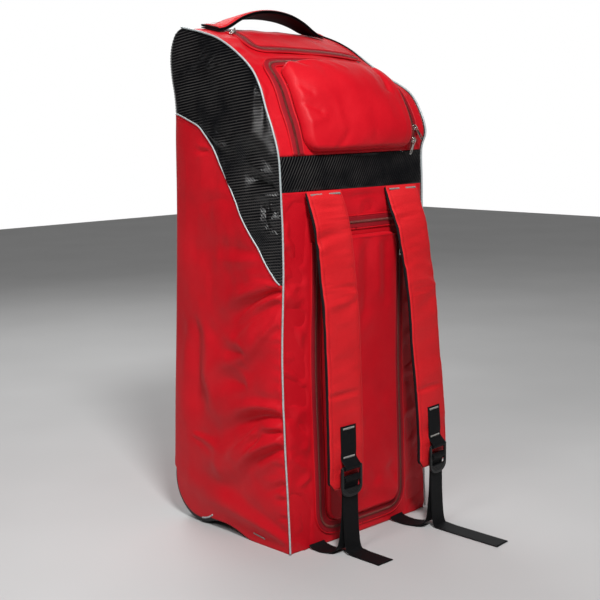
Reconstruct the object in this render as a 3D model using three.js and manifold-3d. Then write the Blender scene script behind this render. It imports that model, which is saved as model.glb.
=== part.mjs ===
// Wheeled duffel bag, standing upright on its front foot and its two wheels.
// Millimetres. X runs across the bag, the pocket side faces -Y, +Z is up, and the floor is z = 0.
import * as THREE from 'three';
import { mergeVertices } from 'three/addons/utils/BufferGeometryUtils.js';
import Module from 'manifold-3d';

const wasm = await Module();
wasm.setup();

// Body
const bodyWidth = 360;
const bodyDepth = 300;
const bodyHeight = 920;
const cloth = 2;
const gap = 0.3;
const sideBulge = 13;
const carbonTipHeight = 474;
const carbonRearHeight = 769;
const topCornerHeight = 800;

// Band and pockets, heights measured along the front cloth from the floor
const bandBottom = 634;
const bandTop = 695;
const upperPocketHalfWidth = 126;
const upperPocketRise = 20;
const upperPocketSeam = 6;
const lowerPocketHalfWidth = 94;
const lowerPocketBottom = 40;
const lowerPocketRise = 9;
const pocketCornerRadius = 26;
const pocketSeat = 0.8;

// Zips
const zipWidth = 22;
const zipThickness = 1.6;
const zipClear = 2.5;
const slotZipDrop = 60;
const slotZipAbovePocket = 11;
const slotZipHalfLength = 108;
const topZipBelowHandle = 92;
const topZipAbovePocket = 60;
const topZipTurnIn = 14;
const topZipLeft = -132;
const topZipRight = 152;
const sliderLength = 11;
const sliderWidth = 9;
const sliderThickness = 3;
const pullLength = 28;
const pullWidth = 8;
const pullThickness = 1.4;
const bailWidth = 2.6;
const bailThickness = 1.4;
const bailPost = 1.6;
const bailRoom = 3;
const pullBar = 0.8;
const pullPlay = 0.8;

// Piping
const pipingRadius = 2.4;
const seamPipingRadius = 1.8;
const pipingGap = 1.25;
const seamPipingGap = 0.8;

// Shoulder straps
const strapWidth = 84;
const strapThickness = 10;
const strapEnd = 116;
const sewnShare = 0.45;
const strapTwist = 6;
const leftStrapX = -92;
const rightStrapX = 108;

// Webbing and buckles
const webbingWidth = 38;
const webbingThickness = 1.6;
const buckleWidth = 52;
const buckleHeight = 56;
const buckleThickness = 4;
const buckleRail = 5.5;
const buckleBar = 5;
const loopTop = 228;
const loopSlack = 4;
const loopGap = 1.4;
const buckleOverlap = 42;
const slackShift = 26;
const leftTailLength = 185;
const rightTailLength = 255;

// Handle
const handleWidth = 46;
const handleThickness = 5;
const handleBacking = 2.5;
const handleHalfSpan = 138;
const handleRise = 26;
const handleY = 80;
const handleToZip = 9;

// Wheels
const wheelRadius = 48;
const wheelWidth = 26;
const wheelPlay = 0.5;
const hubRim = 7;
const tyreShoulder = 4;
const tyreThickness = 9;
const wheelY = 119;
const wheelX = 150;
const wheelClearance = 4;
const housingRadius = 75;
const housingY = 93;
const housingZ = 77;
const housingWidth = 56;
const housingEdge = 9;
const axleRadius = 4;
const axleSeat = 4;

// The front seam from the foot over the top to the rear edge, on the left and on the right side.
// Columns are shares: y and crown, the rise of the cloth mid-width, of the depth, and z of the height.
const frontSeamRows = [
  { leftY: -0.523, leftZ: 0.000, rightY: -0.523, rightZ: 0.000, crown: 0.010 },
  { leftY: -0.510, leftZ: 0.109, rightY: -0.510, rightZ: 0.109, crown: 0.025 },
  { leftY: -0.495, leftZ: 0.205, rightY: -0.500, rightZ: 0.205, crown: 0.033 },
  { leftY: -0.483, leftZ: 0.326, rightY: -0.490, rightZ: 0.326, crown: 0.033 },
  { leftY: -0.487, leftZ: 0.416, rightY: -0.490, rightZ: 0.416, crown: 0.033 },
  { leftY: -0.500, leftZ: 0.492, rightY: -0.493, rightZ: 0.492, crown: 0.033 },
  { leftY: -0.507, leftZ: 0.585, rightY: -0.497, rightZ: 0.585, crown: 0.033 },
  { leftY: -0.497, leftZ: 0.689, rightY: -0.497, rightZ: 0.689, crown: 0.035 },
  { leftY: -0.483, leftZ: 0.754, rightY: -0.493, rightZ: 0.756, crown: 0.045 },
  { leftY: -0.437, leftZ: 0.803, rightY: -0.527, rightZ: 0.793, crown: 0.050 },
  { leftY: -0.393, leftZ: 0.836, rightY: -0.483, rightZ: 0.835, crown: 0.050 },
  { leftY: -0.343, leftZ: 0.880, rightY: -0.393, rightZ: 0.872, crown: 0.050 },
  { leftY: -0.270, leftZ: 0.915, rightY: -0.220, rightZ: 0.902, crown: 0.048 },
  { leftY: -0.140, leftZ: 0.947, rightY: -0.050, rightZ: 0.933, crown: 0.042 },
  { leftY: 0.010, leftZ: 0.973, rightY: 0.100, rightZ: 0.963, crown: 0.036 },
  { leftY: 0.167, leftZ: 0.988, rightY: 0.223, rightZ: 0.981, crown: 0.030 },
  { leftY: 0.347, leftZ: 1.000, rightY: 0.347, rightZ: 0.994, crown: 0.020 },
];

// The back of the bag from the rear top edge down to the base.
const backRows = [
  { y: 0.360, z: 0.999 },
  { y: 0.412, z: 0.990 },
  { y: 0.453, z: 0.968 },
  { y: 0.470, z: 0.940 },
  { y: 0.462, z: 0.905 },
  { y: 0.440, z: 0.868 },
  { y: 0.433, z: 0.830 },
  { y: 0.440, z: 0.780 },
  { y: 0.452, z: 0.640 },
  { y: 0.485, z: 0.450 },
  { y: 0.527, z: 0.250 },
  { y: 0.545, z: 0.150 },
  { y: 0.553, z: 0.100 },
  { y: 0.530, z: 0.055 },
  { y: 0.480, z: 0.025 },
];

// The underside from the rear to the front foot. Behind the foot the cloth arches clear of the floor.
const baseRows = [
  { y: 0.470, z: 0.0200 },
  { y: 0.300, z: 0.0180 },
  { y: 0.090, z: 0.0180 },
  { y: 0.020, z: 0.0165 },
  { y: -0.060, z: 0.0110 },
  { y: -0.130, z: 0.0040 },
  { y: -0.200, z: 0.0000 },
  { y: -0.350, z: 0.0000 },
  { y: -0.510, z: 0.0000 },
];

// The seam between the red side cloth and the ribbed vinyl, front to rear.
const carbonSeamRows = [
  { y: -0.467, z: 0.525 },
  { y: -0.419, z: 0.544 },
  { y: -0.344, z: 0.579 },
  { y: -0.266, z: 0.615 },
  { y: -0.185, z: 0.653 },
  { y: -0.103, z: 0.698 },
  { y: -0.016, z: 0.742 },
  { y: 0.045, z: 0.773 },
  { y: 0.100, z: 0.792 },
  { y: 0.165, z: 0.810 },
  { y: 0.265, z: 0.822 },
  { y: 0.372, z: 0.833 },
];

// Folds and dents of the side cloth, with those of the ribbed vinyl last. Each runs from one end to the other in
// the side view, with a soft width and a rise (negative for a crease). Columns y, width and rise are shares of the
// depth, and z of the height.
const sideFoldRows = [
  { fromY: -0.450, fromZ: 0.500, toY: 0.080, toZ: 0.410, width: 0.075, rise: -0.016 },
  { fromY: -0.440, fromZ: 0.450, toY: 0.163, toZ: 0.321, width: 0.085, rise: 0.022 },
  { fromY: -0.420, fromZ: 0.380, toY: 0.050, toZ: 0.310, width: 0.080, rise: -0.018 },
  { fromY: 0.223, fromZ: 0.400, toY: 0.267, toZ: 0.270, width: 0.085, rise: -0.012 },
  { fromY: -0.445, fromZ: 0.276, toY: 0.060, toZ: 0.207, width: 0.075, rise: -0.018 },
  { fromY: -0.443, fromZ: 0.229, toY: 0.050, toZ: 0.138, width: 0.080, rise: 0.024 },
  { fromY: -0.440, fromZ: 0.165, toY: 0.000, toZ: 0.095, width: 0.075, rise: -0.020 },
  { fromY: 0.387, fromZ: 0.080, toY: -0.470, toZ: 0.045, width: 0.085, rise: 0.020 },
  { fromY: -0.440, fromZ: 0.584, toY: 0.237, toZ: 0.568, width: 0.070, rise: -0.010 },
  { fromY: -0.430, fromZ: 0.690, toY: -0.250, toZ: 0.740, width: 0.090, rise: -0.016 },
  { fromY: 0.150, fromZ: 0.905, toY: 0.420, toZ: 0.870, width: 0.090, rise: -0.018 },
  { fromY: -0.020, fromZ: 0.800, toY: 0.300, toZ: 0.880, width: 0.100, rise: 0.014 },
];

// How far each strap hangs off the front cloth and aside, from its sewn top (down 0) to its end (down 1).
// Columns off and aside are shares of the strap width.
const leftStrapRows = [
  { down: 0.000, off: 0.000, aside: 0.000 },
  { down: 0.075, off: 0.165, aside: 0.000 },
  { down: 0.135, off: 0.260, aside: 0.000 },
  { down: 0.230, off: 0.345, aside: 0.000 },
  { down: 0.310, off: 0.415, aside: 0.000 },
  { down: 0.390, off: 0.500, aside: 0.000 },
  { down: 0.530, off: 0.570, aside: 0.000 },
  { down: 0.680, off: 0.595, aside: 0.000 },
  { down: 0.850, off: 0.580, aside: 0.000 },
  { down: 1.000, off: 0.560, aside: 0.000 },
];
const rightStrapRows = [
  { down: 0.000, off: 0.000, aside: 0.000 },
  { down: 0.075, off: 0.165, aside: 0.000 },
  { down: 0.135, off: 0.310, aside: 0.010 },
  { down: 0.240, off: 0.440, aside: 0.025 },
  { down: 0.340, off: 0.550, aside: 0.050 },
  { down: 0.410, off: 0.620, aside: 0.060 },
  { down: 0.560, off: 0.690, aside: 0.085 },
  { down: 0.720, off: 0.770, aside: 0.105 },
  { down: 0.870, off: 0.800, aside: 0.120 },
  { down: 1.000, off: 0.800, aside: 0.120 },
];

// Materials
const red = new THREE.MeshStandardMaterial({ color: 0xc41426, roughness: 0.6, metalness: 0 });
const strapRed = new THREE.MeshStandardMaterial({ color: 0xd91f2e, roughness: 0.65, metalness: 0 });
const vinyl = new THREE.MeshStandardMaterial({ color: 0x14161c, roughness: 0.28, metalness: 0 });
const baseCloth = new THREE.MeshStandardMaterial({ color: 0x121214, roughness: 0.7, metalness: 0 });
const zipTape = new THREE.MeshStandardMaterial({ color: 0x6b0f1a, roughness: 0.7, metalness: 0 });
const piping = new THREE.MeshStandardMaterial({ color: 0xc9ccd0, roughness: 0.4, metalness: 0 });
const webbing = new THREE.MeshStandardMaterial({ color: 0x101010, roughness: 0.8, metalness: 0 });
const plastic = new THREE.MeshStandardMaterial({ color: 0x0c0c0e, roughness: 0.45, metalness: 0 });
const rubber = new THREE.MeshStandardMaterial({ color: 0x1a1a1a, roughness: 0.85, metalness: 0 });
const nickel = new THREE.MeshStandardMaterial({ color: 0xc8c6c0, roughness: 0.25, metalness: 1 });

const bag = new THREE.Group();

function add(name, geometry, material) {
  const mesh = new THREE.Mesh(geometry, material);
  mesh.name = name;
  bag.add(mesh);
  return mesh;
}

function smoothCurve(points) {
  return new THREE.CatmullRomCurve3(points, false, 'catmullrom', 0.5);
}

function side(y, z) {
  return new THREE.Vector3(0, y * bodyDepth, z * bodyHeight);
}

// Linear reading of a table: the value of one column where another has the given value.
function readRow(rows, key, column, value) {
  const last = rows.length - 1;
  for (let i = 0; i < last; i += 1) {
    const a = rows[i];
    const b = rows[i + 1];
    if (value <= b[key] || i === last - 1) {
      const share = THREE.MathUtils.clamp((value - a[key]) / (b[key] - a[key]), 0, 1);
      return a[column] + (b[column] - a[column]) * share;
    }
  }
  return rows[last][column];
}

// A closed sheet of cloth. at(u, v, lift) gives a point of the sheet, lifted off its middle or outer face.
function sheet(at, columns, rows, outside, inside) {
  const positions = [];
  for (const lift of [outside, inside]) {
    for (let j = 0; j <= rows; j += 1) {
      for (let i = 0; i <= columns; i += 1) {
        positions.push(...at(i / columns, j / rows, lift).toArray());
      }
    }
  }
  const layer = (columns + 1) * (rows + 1);
  const outer = (i, j) => j * (columns + 1) + i;
  const inner = (i, j) => layer + outer(i, j);
  const index = [];
  const quad = (a, b, c, d) => index.push(a, b, c, a, c, d);
  for (let j = 0; j < rows; j += 1) {
    for (let i = 0; i < columns; i += 1) {
      quad(outer(i, j), outer(i + 1, j), outer(i + 1, j + 1), outer(i, j + 1));
      quad(inner(i, j), inner(i, j + 1), inner(i + 1, j + 1), inner(i + 1, j));
    }
    quad(outer(0, j), outer(0, j + 1), inner(0, j + 1), inner(0, j));
    quad(outer(columns, j), inner(columns, j), inner(columns, j + 1), outer(columns, j + 1));
  }
  for (let i = 0; i < columns; i += 1) {
    quad(outer(i, 0), inner(i, 0), inner(i + 1, 0), outer(i + 1, 0));
    quad(outer(i, rows), outer(i + 1, rows), inner(i + 1, rows), inner(i, rows));
  }
  return facingOut(positions, index);
}

// A geometry from points and triangles, with the triangles turned so that they face out.
function facingOut(positions, index) {
  const [a, b, c] = [new THREE.Vector3(), new THREE.Vector3(), new THREE.Vector3()];
  let volume = 0;
  for (let i = 0; i < index.length; i += 3) {
    a.fromArray(positions, index[i] * 3);
    b.fromArray(positions, index[i + 1] * 3);
    c.fromArray(positions, index[i + 2] * 3);
    volume += a.dot(b.cross(c));
  }
  if (volume < 0) {
    index.reverse();
  }
  const geometry = new THREE.BufferGeometry();
  geometry.setAttribute('position', new THREE.Float32BufferAttribute(positions, 3));
  geometry.setIndex(index);
  geometry.computeVertexNormals();
  return geometry;
}

function toManifold(geometry) {
  const plain = geometry.clone();
  plain.deleteAttribute('normal');
  plain.deleteAttribute('uv');
  const merged = mergeVertices(plain, 1e-3);
  return new wasm.Manifold(new wasm.Mesh({
    numProp: 3,
    vertProperties: new Float32Array(merged.attributes.position.array),
    triVerts: new Uint32Array(merged.index.array),
  }));
}

function fromManifold(solid) {
  const mesh = solid.getMesh();
  const geometry = new THREE.BufferGeometry();
  geometry.setAttribute('position', new THREE.Float32BufferAttribute(mesh.vertProperties, 3));
  geometry.setIndex([...mesh.triVerts]);
  geometry.computeVertexNormals();
  return geometry;
}

function subtract(geometry, ...tools) {
  let solid = toManifold(geometry);
  for (const tool of tools) {
    solid = solid.subtract(toManifold(tool));
  }
  return fromManifold(solid);
}

function join(...geometries) {
  let solid = toManifold(geometries[0]);
  for (const geometry of geometries.slice(1)) {
    solid = solid.add(toManifold(geometry));
  }
  return fromManifold(solid);
}

function tube(points, radius, sides, steps) {
  const outline = [];
  for (let i = 0; i < sides; i += 1) {
    const turn = (i / sides) * Math.PI * 2;
    outline.push(new THREE.Vector2(Math.cos(turn) * radius, Math.sin(turn) * radius));
  }
  return new THREE.ExtrudeGeometry(new THREE.Shape(outline), {
    steps,
    extrudePath: smoothCurve(points),
    bevelEnabled: false,
  });
}

// Front cloth: the curves of both seams, and the mean of them, whose length measures all heights on it.
const frontLeft = smoothCurve(frontSeamRows.map((row) => side(row.leftY, row.leftZ)));
const frontRight = smoothCurve(frontSeamRows.map((row) => side(row.rightY, row.rightZ)));
const frontMean = smoothCurve(frontSeamRows.map((row) => (
  side((row.leftY + row.rightY) / 2, (row.leftZ + row.rightZ) / 2))));
frontMean.arcLengthDivisions = 600;
const frontLength = frontMean.getLength();
const backLine = smoothCurve(backRows.map((row) => side(row.y, row.z)));
const baseLine = smoothCurve(baseRows.map((row) => side(row.y, row.z)));

function seamShare(height) {
  return frontMean.getUtoTmapping(THREE.MathUtils.clamp(height / frontLength, 0, 1));
}

function crownAt(share) {
  const place = share * (frontSeamRows.length - 1);
  const row = Math.min(Math.floor(place), frontSeamRows.length - 2);
  const a = frontSeamRows[row].crown;
  const b = frontSeamRows[row + 1].crown;
  return (a + (b - a) * (place - row)) * bodyDepth;
}

// A point on the front and top cloth, at x and at a height measured along the cloth.
function frontPoint(x, height, lift) {
  const share = seamShare(height);
  const across = x / bodyWidth + 0.5;
  const point = frontLeft.getPoint(share).lerp(frontRight.getPoint(share), across);
  const along = frontMean.getTangent(share);
  const rise = crownAt(share) * (1 - (2 * x / bodyWidth) ** 2) + lift;
  return new THREE.Vector3(x, point.y - rise * along.z, point.z + rise * along.y);
}

// A point on the back or the base, whose cloth is stiffened and so nearly flat.
function linePoint(line, x, share, lift) {
  const point = line.getPointAt(share);
  point.z = Math.max(point.z, 0);
  const along = line.getTangentAt(share);
  return new THREE.Vector3(x, point.y - lift * along.z, point.z + lift * along.y);
}

const innerHalf = bodyWidth / 2 - cloth - gap;
const acrossBody = (u) => (u * 2 - 1) * innerHalf;

function frontStrip(from, to) {
  return (u, v, lift) => frontPoint(acrossBody(u), from + (to - from) * v, lift);
}

// Side cloth
const sideColumns = 12;

function heightTable(curve) {
  return curve.getPoints(300).map((point) => ({ y: point.y, z: point.z }));
}

const seamTables = [heightTable(frontLeft), heightTable(frontRight)];
const backTable = heightTable(backLine).reverse();

// Soft bulge of the side at a place in the side view, with its folds.
function sideRise(hand, y, z) {
  const seam = seamTables[hand < 0 ? 0 : 1];
  const front = readRow(seam, 'z', 'y', z);
  const back = readRow(backTable, 'z', 'y', z);
  const across = THREE.MathUtils.clamp((y - front) / Math.max(back - front, 1), 0, 1);
  const up = THREE.MathUtils.clamp(z / bodyHeight, 0, 1);
  const edge = Math.min(1, 6 * across * (1 - across)) * Math.min(1, 9 * up) * Math.min(1, 9 * (1 - up));
  const round = Math.sqrt(Math.max(0, 4 * across * (1 - across)));
  let rise = sideBulge * round * Math.min(1, 6 * up) * Math.min(1, 5 * (1 - up));
  for (const fold of sideFoldRows) {
    rise += foldRise(fold, y, z) * edge;
  }
  return rise;
}

function foldRise(fold, y, z) {
  const start = new THREE.Vector2(fold.fromY * bodyDepth, fold.fromZ * bodyHeight);
  const end = new THREE.Vector2(fold.toY * bodyDepth, fold.toZ * bodyHeight);
  const run = end.clone().sub(start);
  const place = new THREE.Vector2(y, z).sub(start);
  const share = THREE.MathUtils.clamp(place.dot(run) / run.lengthSq(), 0, 1);
  const off = place.sub(run.multiplyScalar(share)).length() / (fold.width * bodyDepth);
  return fold.rise * bodyDepth * Math.exp(-off * off);
}

function spaced(points, count) {
  const curve = new THREE.CurvePath();
  for (let i = 0; i < points.length - 1; i += 1) {
    curve.add(new THREE.LineCurve3(points[i], points[i + 1]));
  }
  return curve.getSpacedPoints(count);
}

function partOf(curve, fromZ, toZ, count) {
  const points = curve.getPoints(400).filter((point) => (
    point.z >= Math.min(fromZ, toZ) && point.z <= Math.max(fromZ, toZ)));
  return spaced(points, count);
}

// A patch between four border lines that meet at their ends.
function patch(bottom, top, left, right) {
  const pick = (points, share) => {
    const place = share * (points.length - 1);
    const i = Math.min(Math.floor(place), points.length - 2);
    return points[i].clone().lerp(points[i + 1], place - i);
  };
  return (u, v) => {
    const point = pick(bottom, u).multiplyScalar(1 - v);
    point.add(pick(top, u).multiplyScalar(v));
    point.add(pick(left, v).multiplyScalar(1 - u));
    point.add(pick(right, v).multiplyScalar(u));
    point.sub(pick(bottom, 0).multiplyScalar((1 - u) * (1 - v)));
    point.sub(pick(bottom, 1).multiplyScalar(u * (1 - v)));
    point.sub(pick(top, 0).multiplyScalar((1 - u) * v));
    point.sub(pick(top, 1).multiplyScalar(u * v));
    return point;
  };
}

function sideSheet(hand, flat, rows) {
  const at = (u, v, lift) => {
    const point = flat(u, v);
    point.x = hand * (bodyWidth / 2 + sideRise(hand, point.y, point.z) + lift);
    return point;
  };
  return sheet(at, sideColumns, rows, 0, -cloth);
}

// The lower edge of the side cloth: along the base, then round inside the rim of the wheel housing.
function sideFoot() {
  const rim = housingRadius - housingEdge;
  const points = [];
  const base = baseLine.getPoints(80).reverse();
  const rimStart = -Math.PI * 0.637;
  const rimEnd = Math.PI * 0.08;
  const startY = housingY + rim * Math.cos(rimStart);
  for (const point of base) {
    if (point.y < startY - housingEdge * 2) {
      point.z = Math.max(point.z, 0);
      points.push(point);
    }
  }
  const steps = 16;
  for (let i = 0; i <= steps; i += 1) {
    const turn = rimStart + (rimEnd - rimStart) * (i / steps);
    points.push(new THREE.Vector3(0, housingY + rim * Math.cos(turn), housingZ + rim * Math.sin(turn)));
  }
  return points;
}

function frontBorder(hand, fromZ, toZ, count) {
  return partOf(hand < 0 ? frontLeft : frontRight, fromZ, toZ, count);
}

function carbonSeam(hand, offset) {
  const start = frontBorder(hand, carbonTipHeight, bodyHeight, 2)[0];
  const rear = new THREE.Vector3(0, readRow(backTable, 'z', 'y', carbonRearHeight), carbonRearHeight);
  const points = [start, ...carbonSeamRows.map((row) => side(row.y, row.z)), rear];
  return smoothCurve(points).getSpacedPoints(60).map((point) => {
    point.z += offset;
    return point;
  });
}

const backZ = (z) => new THREE.Vector3(0, readRow(backTable, 'z', 'y', z), z);

for (const hand of [-1, 1]) {
  const label = hand < 0 ? 'left' : 'right';

  const foot = sideFoot();
  const footEnd = foot[foot.length - 1];
  const rearLow = backZ(footEnd.z + 6);
  foot.push(rearLow);
  const lowerTop = carbonSeam(hand, -gap / 2);
  const lowerSeam = frontBorder(hand, foot[0].z + 5, lowerTop[0].z - 1, 80);
  const lowerFront = spaced([foot[0], ...lowerSeam, lowerTop[0]], 80);
  const rearTop = lowerTop[lowerTop.length - 1];
  const lowerBack = partOf(backLine, rearLow.z + 1, rearTop.z - 1, 80).reverse();
  const lowerRear = spaced([rearLow, ...lowerBack, rearTop], 80);
  const lower = patch(spaced(foot, 80), lowerTop, lowerFront, lowerRear);
  add(`side_panel_${label}`, sideSheet(hand, lower, 18), red);

  const upperBottom = carbonSeam(hand, gap / 2);
  const seam = frontBorder(hand, upperBottom[0].z + 1, bodyHeight * 2, 160);
  const corner = seam.findIndex((point) => point.z > topCornerHeight);
  const upperFront = spaced([upperBottom[0], ...seam.slice(0, corner + 1)], 60);
  const lastUpper = upperBottom[upperBottom.length - 1];
  const upperBack = partOf(backLine, lastUpper.z + 1, bodyHeight * 2, 80).reverse();
  const upperRear = spaced([lastUpper, ...upperBack, seam[seam.length - 1]], 60);
  const upperTop = spaced(seam.slice(corner), 60);
  const upper = patch(upperBottom, upperTop, upperFront, upperRear);
  add(`carbon_panel_${label}`, sideSheet(hand, upper, 8), vinyl);

  const pipeLift = (pipingRadius + pipingGap) / Math.SQRT2;
  const edgePoints = [];
  const seamSteps = 30;
  for (let i = 0; i <= seamSteps; i += 1) {
    const share = seamShare((i / seamSteps) * frontLength);
    const point = (hand < 0 ? frontLeft : frontRight).getPoint(share);
    const along = (hand < 0 ? frontLeft : frontRight).getTangent(share);
    point.x = hand * (bodyWidth / 2 + pipeLift);
    point.y -= along.z * pipeLift;
    point.z += along.y * pipeLift + (i === 0 ? pipingRadius : 0);
    edgePoints.push(point);
  }
  add(`front_piping_${label}`, tube(edgePoints, pipingRadius, 6, 29), piping);

  const seamPoints = spaced(carbonSeam(hand, 0), 12).slice(0, -1).slice(1);
  for (const point of seamPoints) {
    point.x = hand * (bodyWidth / 2 + sideRise(hand, point.y, point.z) + seamPipingRadius + seamPipingGap);
  }
  add(`carbon_piping_${label}`, tube(seamPoints, seamPipingRadius, 6, 14), piping);
}

// Strips of cloth round the bag
const seamHalf = gap / 2;
add('front_panel', sheet(frontStrip(seamHalf, bandBottom - seamHalf), 8, 12, 0, -cloth), red);
add('chest_band', sheet(frontStrip(bandBottom + seamHalf, bandTop - seamHalf), 8, 2, 0, -cloth), vinyl);
add('top_panel', sheet(frontStrip(bandTop + seamHalf, frontLength - seamHalf), 8, 15, 0, -cloth), red);

// Wheel housings: moulded corners, each with a pocket for its wheel and bores for the axle
function roundBar(x, y, z, radius, length, sides) {
  const bar = new THREE.CylinderGeometry(radius, radius, length, sides);
  bar.rotateZ(Math.PI / 2);
  bar.translate(x, y, z);
  return bar;
}

// The outline of a housing in the side view: a round corner between a sloping front and an upright back.
const housingX = bodyWidth / 2 - cloth - gap - housingWidth / 2;
const housingFront = housingY - housingRadius * 0.86;
const housingTop = housingZ + housingRadius * 0.5;

function housingShape() {
  const shape = new THREE.Shape();
  shape.moveTo(housingFront, housingZ - housingRadius * 0.8);
  const arcFrom = -Math.PI * 0.649;
  const arcTo = Math.PI * 0.05;
  shape.absarc(housingY, housingZ, housingRadius, arcFrom, arcTo, false);
  shape.lineTo(housingY + housingRadius * 0.97, housingTop);
  shape.lineTo(housingY - housingRadius * 0.2, housingTop);
  shape.lineTo(housingFront, housingZ - housingRadius * 0.3);
  shape.closePath();
  return shape;
}

// The corner that a housing takes out of the back and the base.
function housingCorner(hand) {
  const width = bodyWidth;
  const depth = bodyDepth;
  const height = housingTop + gap + bodyHeight / 10;
  const box = new THREE.BoxGeometry(width, depth, height);
  box.translate(
    hand * (housingX - housingWidth / 2 - gap + width / 2),
    housingFront - gap + depth / 2,
    housingTop + gap - height / 2,
  );
  return box;
}

function sideExtrude(shape, x, width, curveSegments) {
  const solid = new THREE.ExtrudeGeometry(shape, { depth: width, bevelEnabled: false, curveSegments });
  solid.rotateX(Math.PI / 2);
  solid.rotateZ(Math.PI / 2);
  solid.translate(x - width / 2, 0, 0);
  return solid;
}

const housingCuts = [];
const pocketRadius = wheelRadius + wheelClearance;
const pocketWidth = wheelWidth + wheelClearance;
const axleLength = housingWidth - axleSeat * 2;
const wheelBore = axleRadius + wheelPlay;
const tread = wheelWidth * 0.32;
const rimEdge = wheelWidth * 0.36;

for (const hand of [-1, 1]) {
  const label = hand < 0 ? 'left' : 'right';
  const wheelAt = [hand * wheelX, wheelY, wheelRadius];
  const axleAt = [hand * housingX, wheelY, wheelRadius];
  const housing = subtract(
    sideExtrude(housingShape(), hand * housingX, housingWidth, 10),
    roundBar(...wheelAt, pocketRadius, pocketWidth, 20),
    roundBar(...axleAt, axleRadius + gap, axleLength + gap * 2, 10),
  );
  add(`wheel_housing_${label}`, housing, plastic);
  housingCuts.push(housingCorner(hand));
  add(`wheel_axle_${label}`, roundBar(...axleAt, axleRadius, axleLength, 10), nickel);
  const rimRadius = wheelRadius - tyreThickness;
  const tyre = new THREE.LatheGeometry([
    new THREE.Vector2(rimRadius + gap, -rimEdge),
    new THREE.Vector2(wheelRadius - tyreShoulder, -wheelWidth / 2),
    new THREE.Vector2(wheelRadius, -tread),
    new THREE.Vector2(wheelRadius, tread),
    new THREE.Vector2(wheelRadius - tyreShoulder, wheelWidth / 2),
    new THREE.Vector2(rimRadius + gap, rimEdge),
    new THREE.Vector2(rimRadius + gap, -rimEdge),
  ], 18);
  tyre.rotateZ(Math.PI / 2);
  tyre.translate(...wheelAt);
  add(`wheel_tyre_${label}`, tyre, rubber);
  const hub = new THREE.LatheGeometry([
    new THREE.Vector2(wheelBore, -wheelWidth / 2),
    new THREE.Vector2(wheelBore + hubRim, -wheelWidth / 2),
    new THREE.Vector2(rimRadius, -rimEdge),
    new THREE.Vector2(rimRadius, rimEdge),
    new THREE.Vector2(wheelBore + hubRim, wheelWidth / 2),
    new THREE.Vector2(wheelBore, wheelWidth / 2),
    new THREE.Vector2(wheelBore, -wheelWidth / 2),
  ], 18);
  hub.rotateZ(Math.PI / 2);
  hub.translate(...wheelAt);
  add(`wheel_hub_${label}`, hub, plastic);
}

// Back and base, cut away at the wheel housings
const backShare = seamHalf / backLine.getLength();
const baseLength = baseLine.getLength();
const backSheet = sheet((u, v, lift) => (
  linePoint(backLine, acrossBody(u), backShare + (1 - 2 * backShare) * v, lift)), 6, 16, 0, -cloth);
add('back_panel', subtract(backSheet, ...housingCuts), red);
const baseFrom = gap / baseLength;
const baseTo = 1 - (cloth * 3 + gap) / baseLength;
const baseSheet = sheet((u, v, lift) => (
  linePoint(baseLine, acrossBody(u), baseFrom + (baseTo - baseFrom) * v, lift)), 4, 12, 0, -cloth);
add('base_panel', subtract(baseSheet, ...housingCuts), baseCloth);

// Pockets: raised faces of cloth, hollow behind, on the front and top cloth
function pocketSheet(halfWidth, bottom, top, rise, columns, rows) {
  const at = (u, v, lift) => {
    const height = bottom + (top - bottom) * v;
    const fromEnd = Math.min(height - bottom, top - height);
    const cut = Math.max(0, pocketCornerRadius - fromEnd);
    const round = pocketCornerRadius - Math.sqrt(Math.max(0, pocketCornerRadius ** 2 - cut ** 2));
    const x = (u * 2 - 1) * (halfWidth - round);
    const across = Math.min(1, (1 - Math.abs(u * 2 - 1)) * 5);
    const along = Math.min(1, fromEnd / (rise * 1.2));
    const dome = Math.sin(Math.PI * u) * Math.sin(Math.PI * v);
    const puff = rise * (0.7 * Math.sqrt(Math.min(across, along)) + 0.3 * dome);
    return frontPoint(x, height, cloth + gap + pocketSeat + puff + lift);
  };
  return sheet(at, columns, rows, 0, -cloth);
}

// Heights that follow from each other: the slot zip and the lower pocket hang below the band, the top zip and
// the upper pocket below the handle.
const handleHeight = frontLength - (frontMean.getPoint(1).y - handleY);
const slotZipHeight = bandBottom - slotZipDrop;
const lowerPocketTop = slotZipHeight - zipWidth / 2 - slotZipAbovePocket;
const topZipHeight = handleHeight - handleWidth / 2 - topZipBelowHandle;
const upperPocketTop = topZipHeight - topZipAbovePocket;
const upperPocketBottom = bandTop + upperPocketSeam;
const upperPocketFace = pocketSheet(
  upperPocketHalfWidth, upperPocketBottom, upperPocketTop, upperPocketRise, 10, 10);
const lowerPocketFace = pocketSheet(
  lowerPocketHalfWidth, lowerPocketBottom, lowerPocketTop, lowerPocketRise, 8, 13);
add('upper_pocket', upperPocketFace, red);
add('lower_pocket', lowerPocketFace, red);

// Zips lie on the cloth along a line of places (x, height)
function zipStrip(path, steps, lift) {
  const points = path.getSpacedPoints(steps);
  const at = (u, v, up) => {
    const i = Math.round(v * steps);
    const before = points[Math.max(i - 1, 0)];
    const after = points[Math.min(i + 1, steps)];
    const normal = new THREE.Vector2(after.y - before.y, before.x - after.x).normalize();
    const off = (u - 0.5) * zipWidth;
    return frontPoint(points[i].x + normal.x * off, points[i].y + normal.y * off, up);
  };
  return sheet(at, 1, steps, lift + zipThickness, lift);
}

function roundedPath(corners, radius) {
  const path = new THREE.Path();
  path.moveTo(corners[0].x, corners[0].y);
  for (let i = 1; i < corners.length - 1; i += 1) {
    const here = corners[i];
    const back = corners[i - 1].clone().sub(here).setLength(radius).add(here);
    const on = corners[i + 1].clone().sub(here).setLength(radius).add(here);
    path.lineTo(back.x, back.y);
    path.quadraticCurveTo(here.x, here.y, on.x, on.y);
  }
  const last = corners[corners.length - 1];
  path.lineTo(last.x, last.y);
  return path;
}

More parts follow.
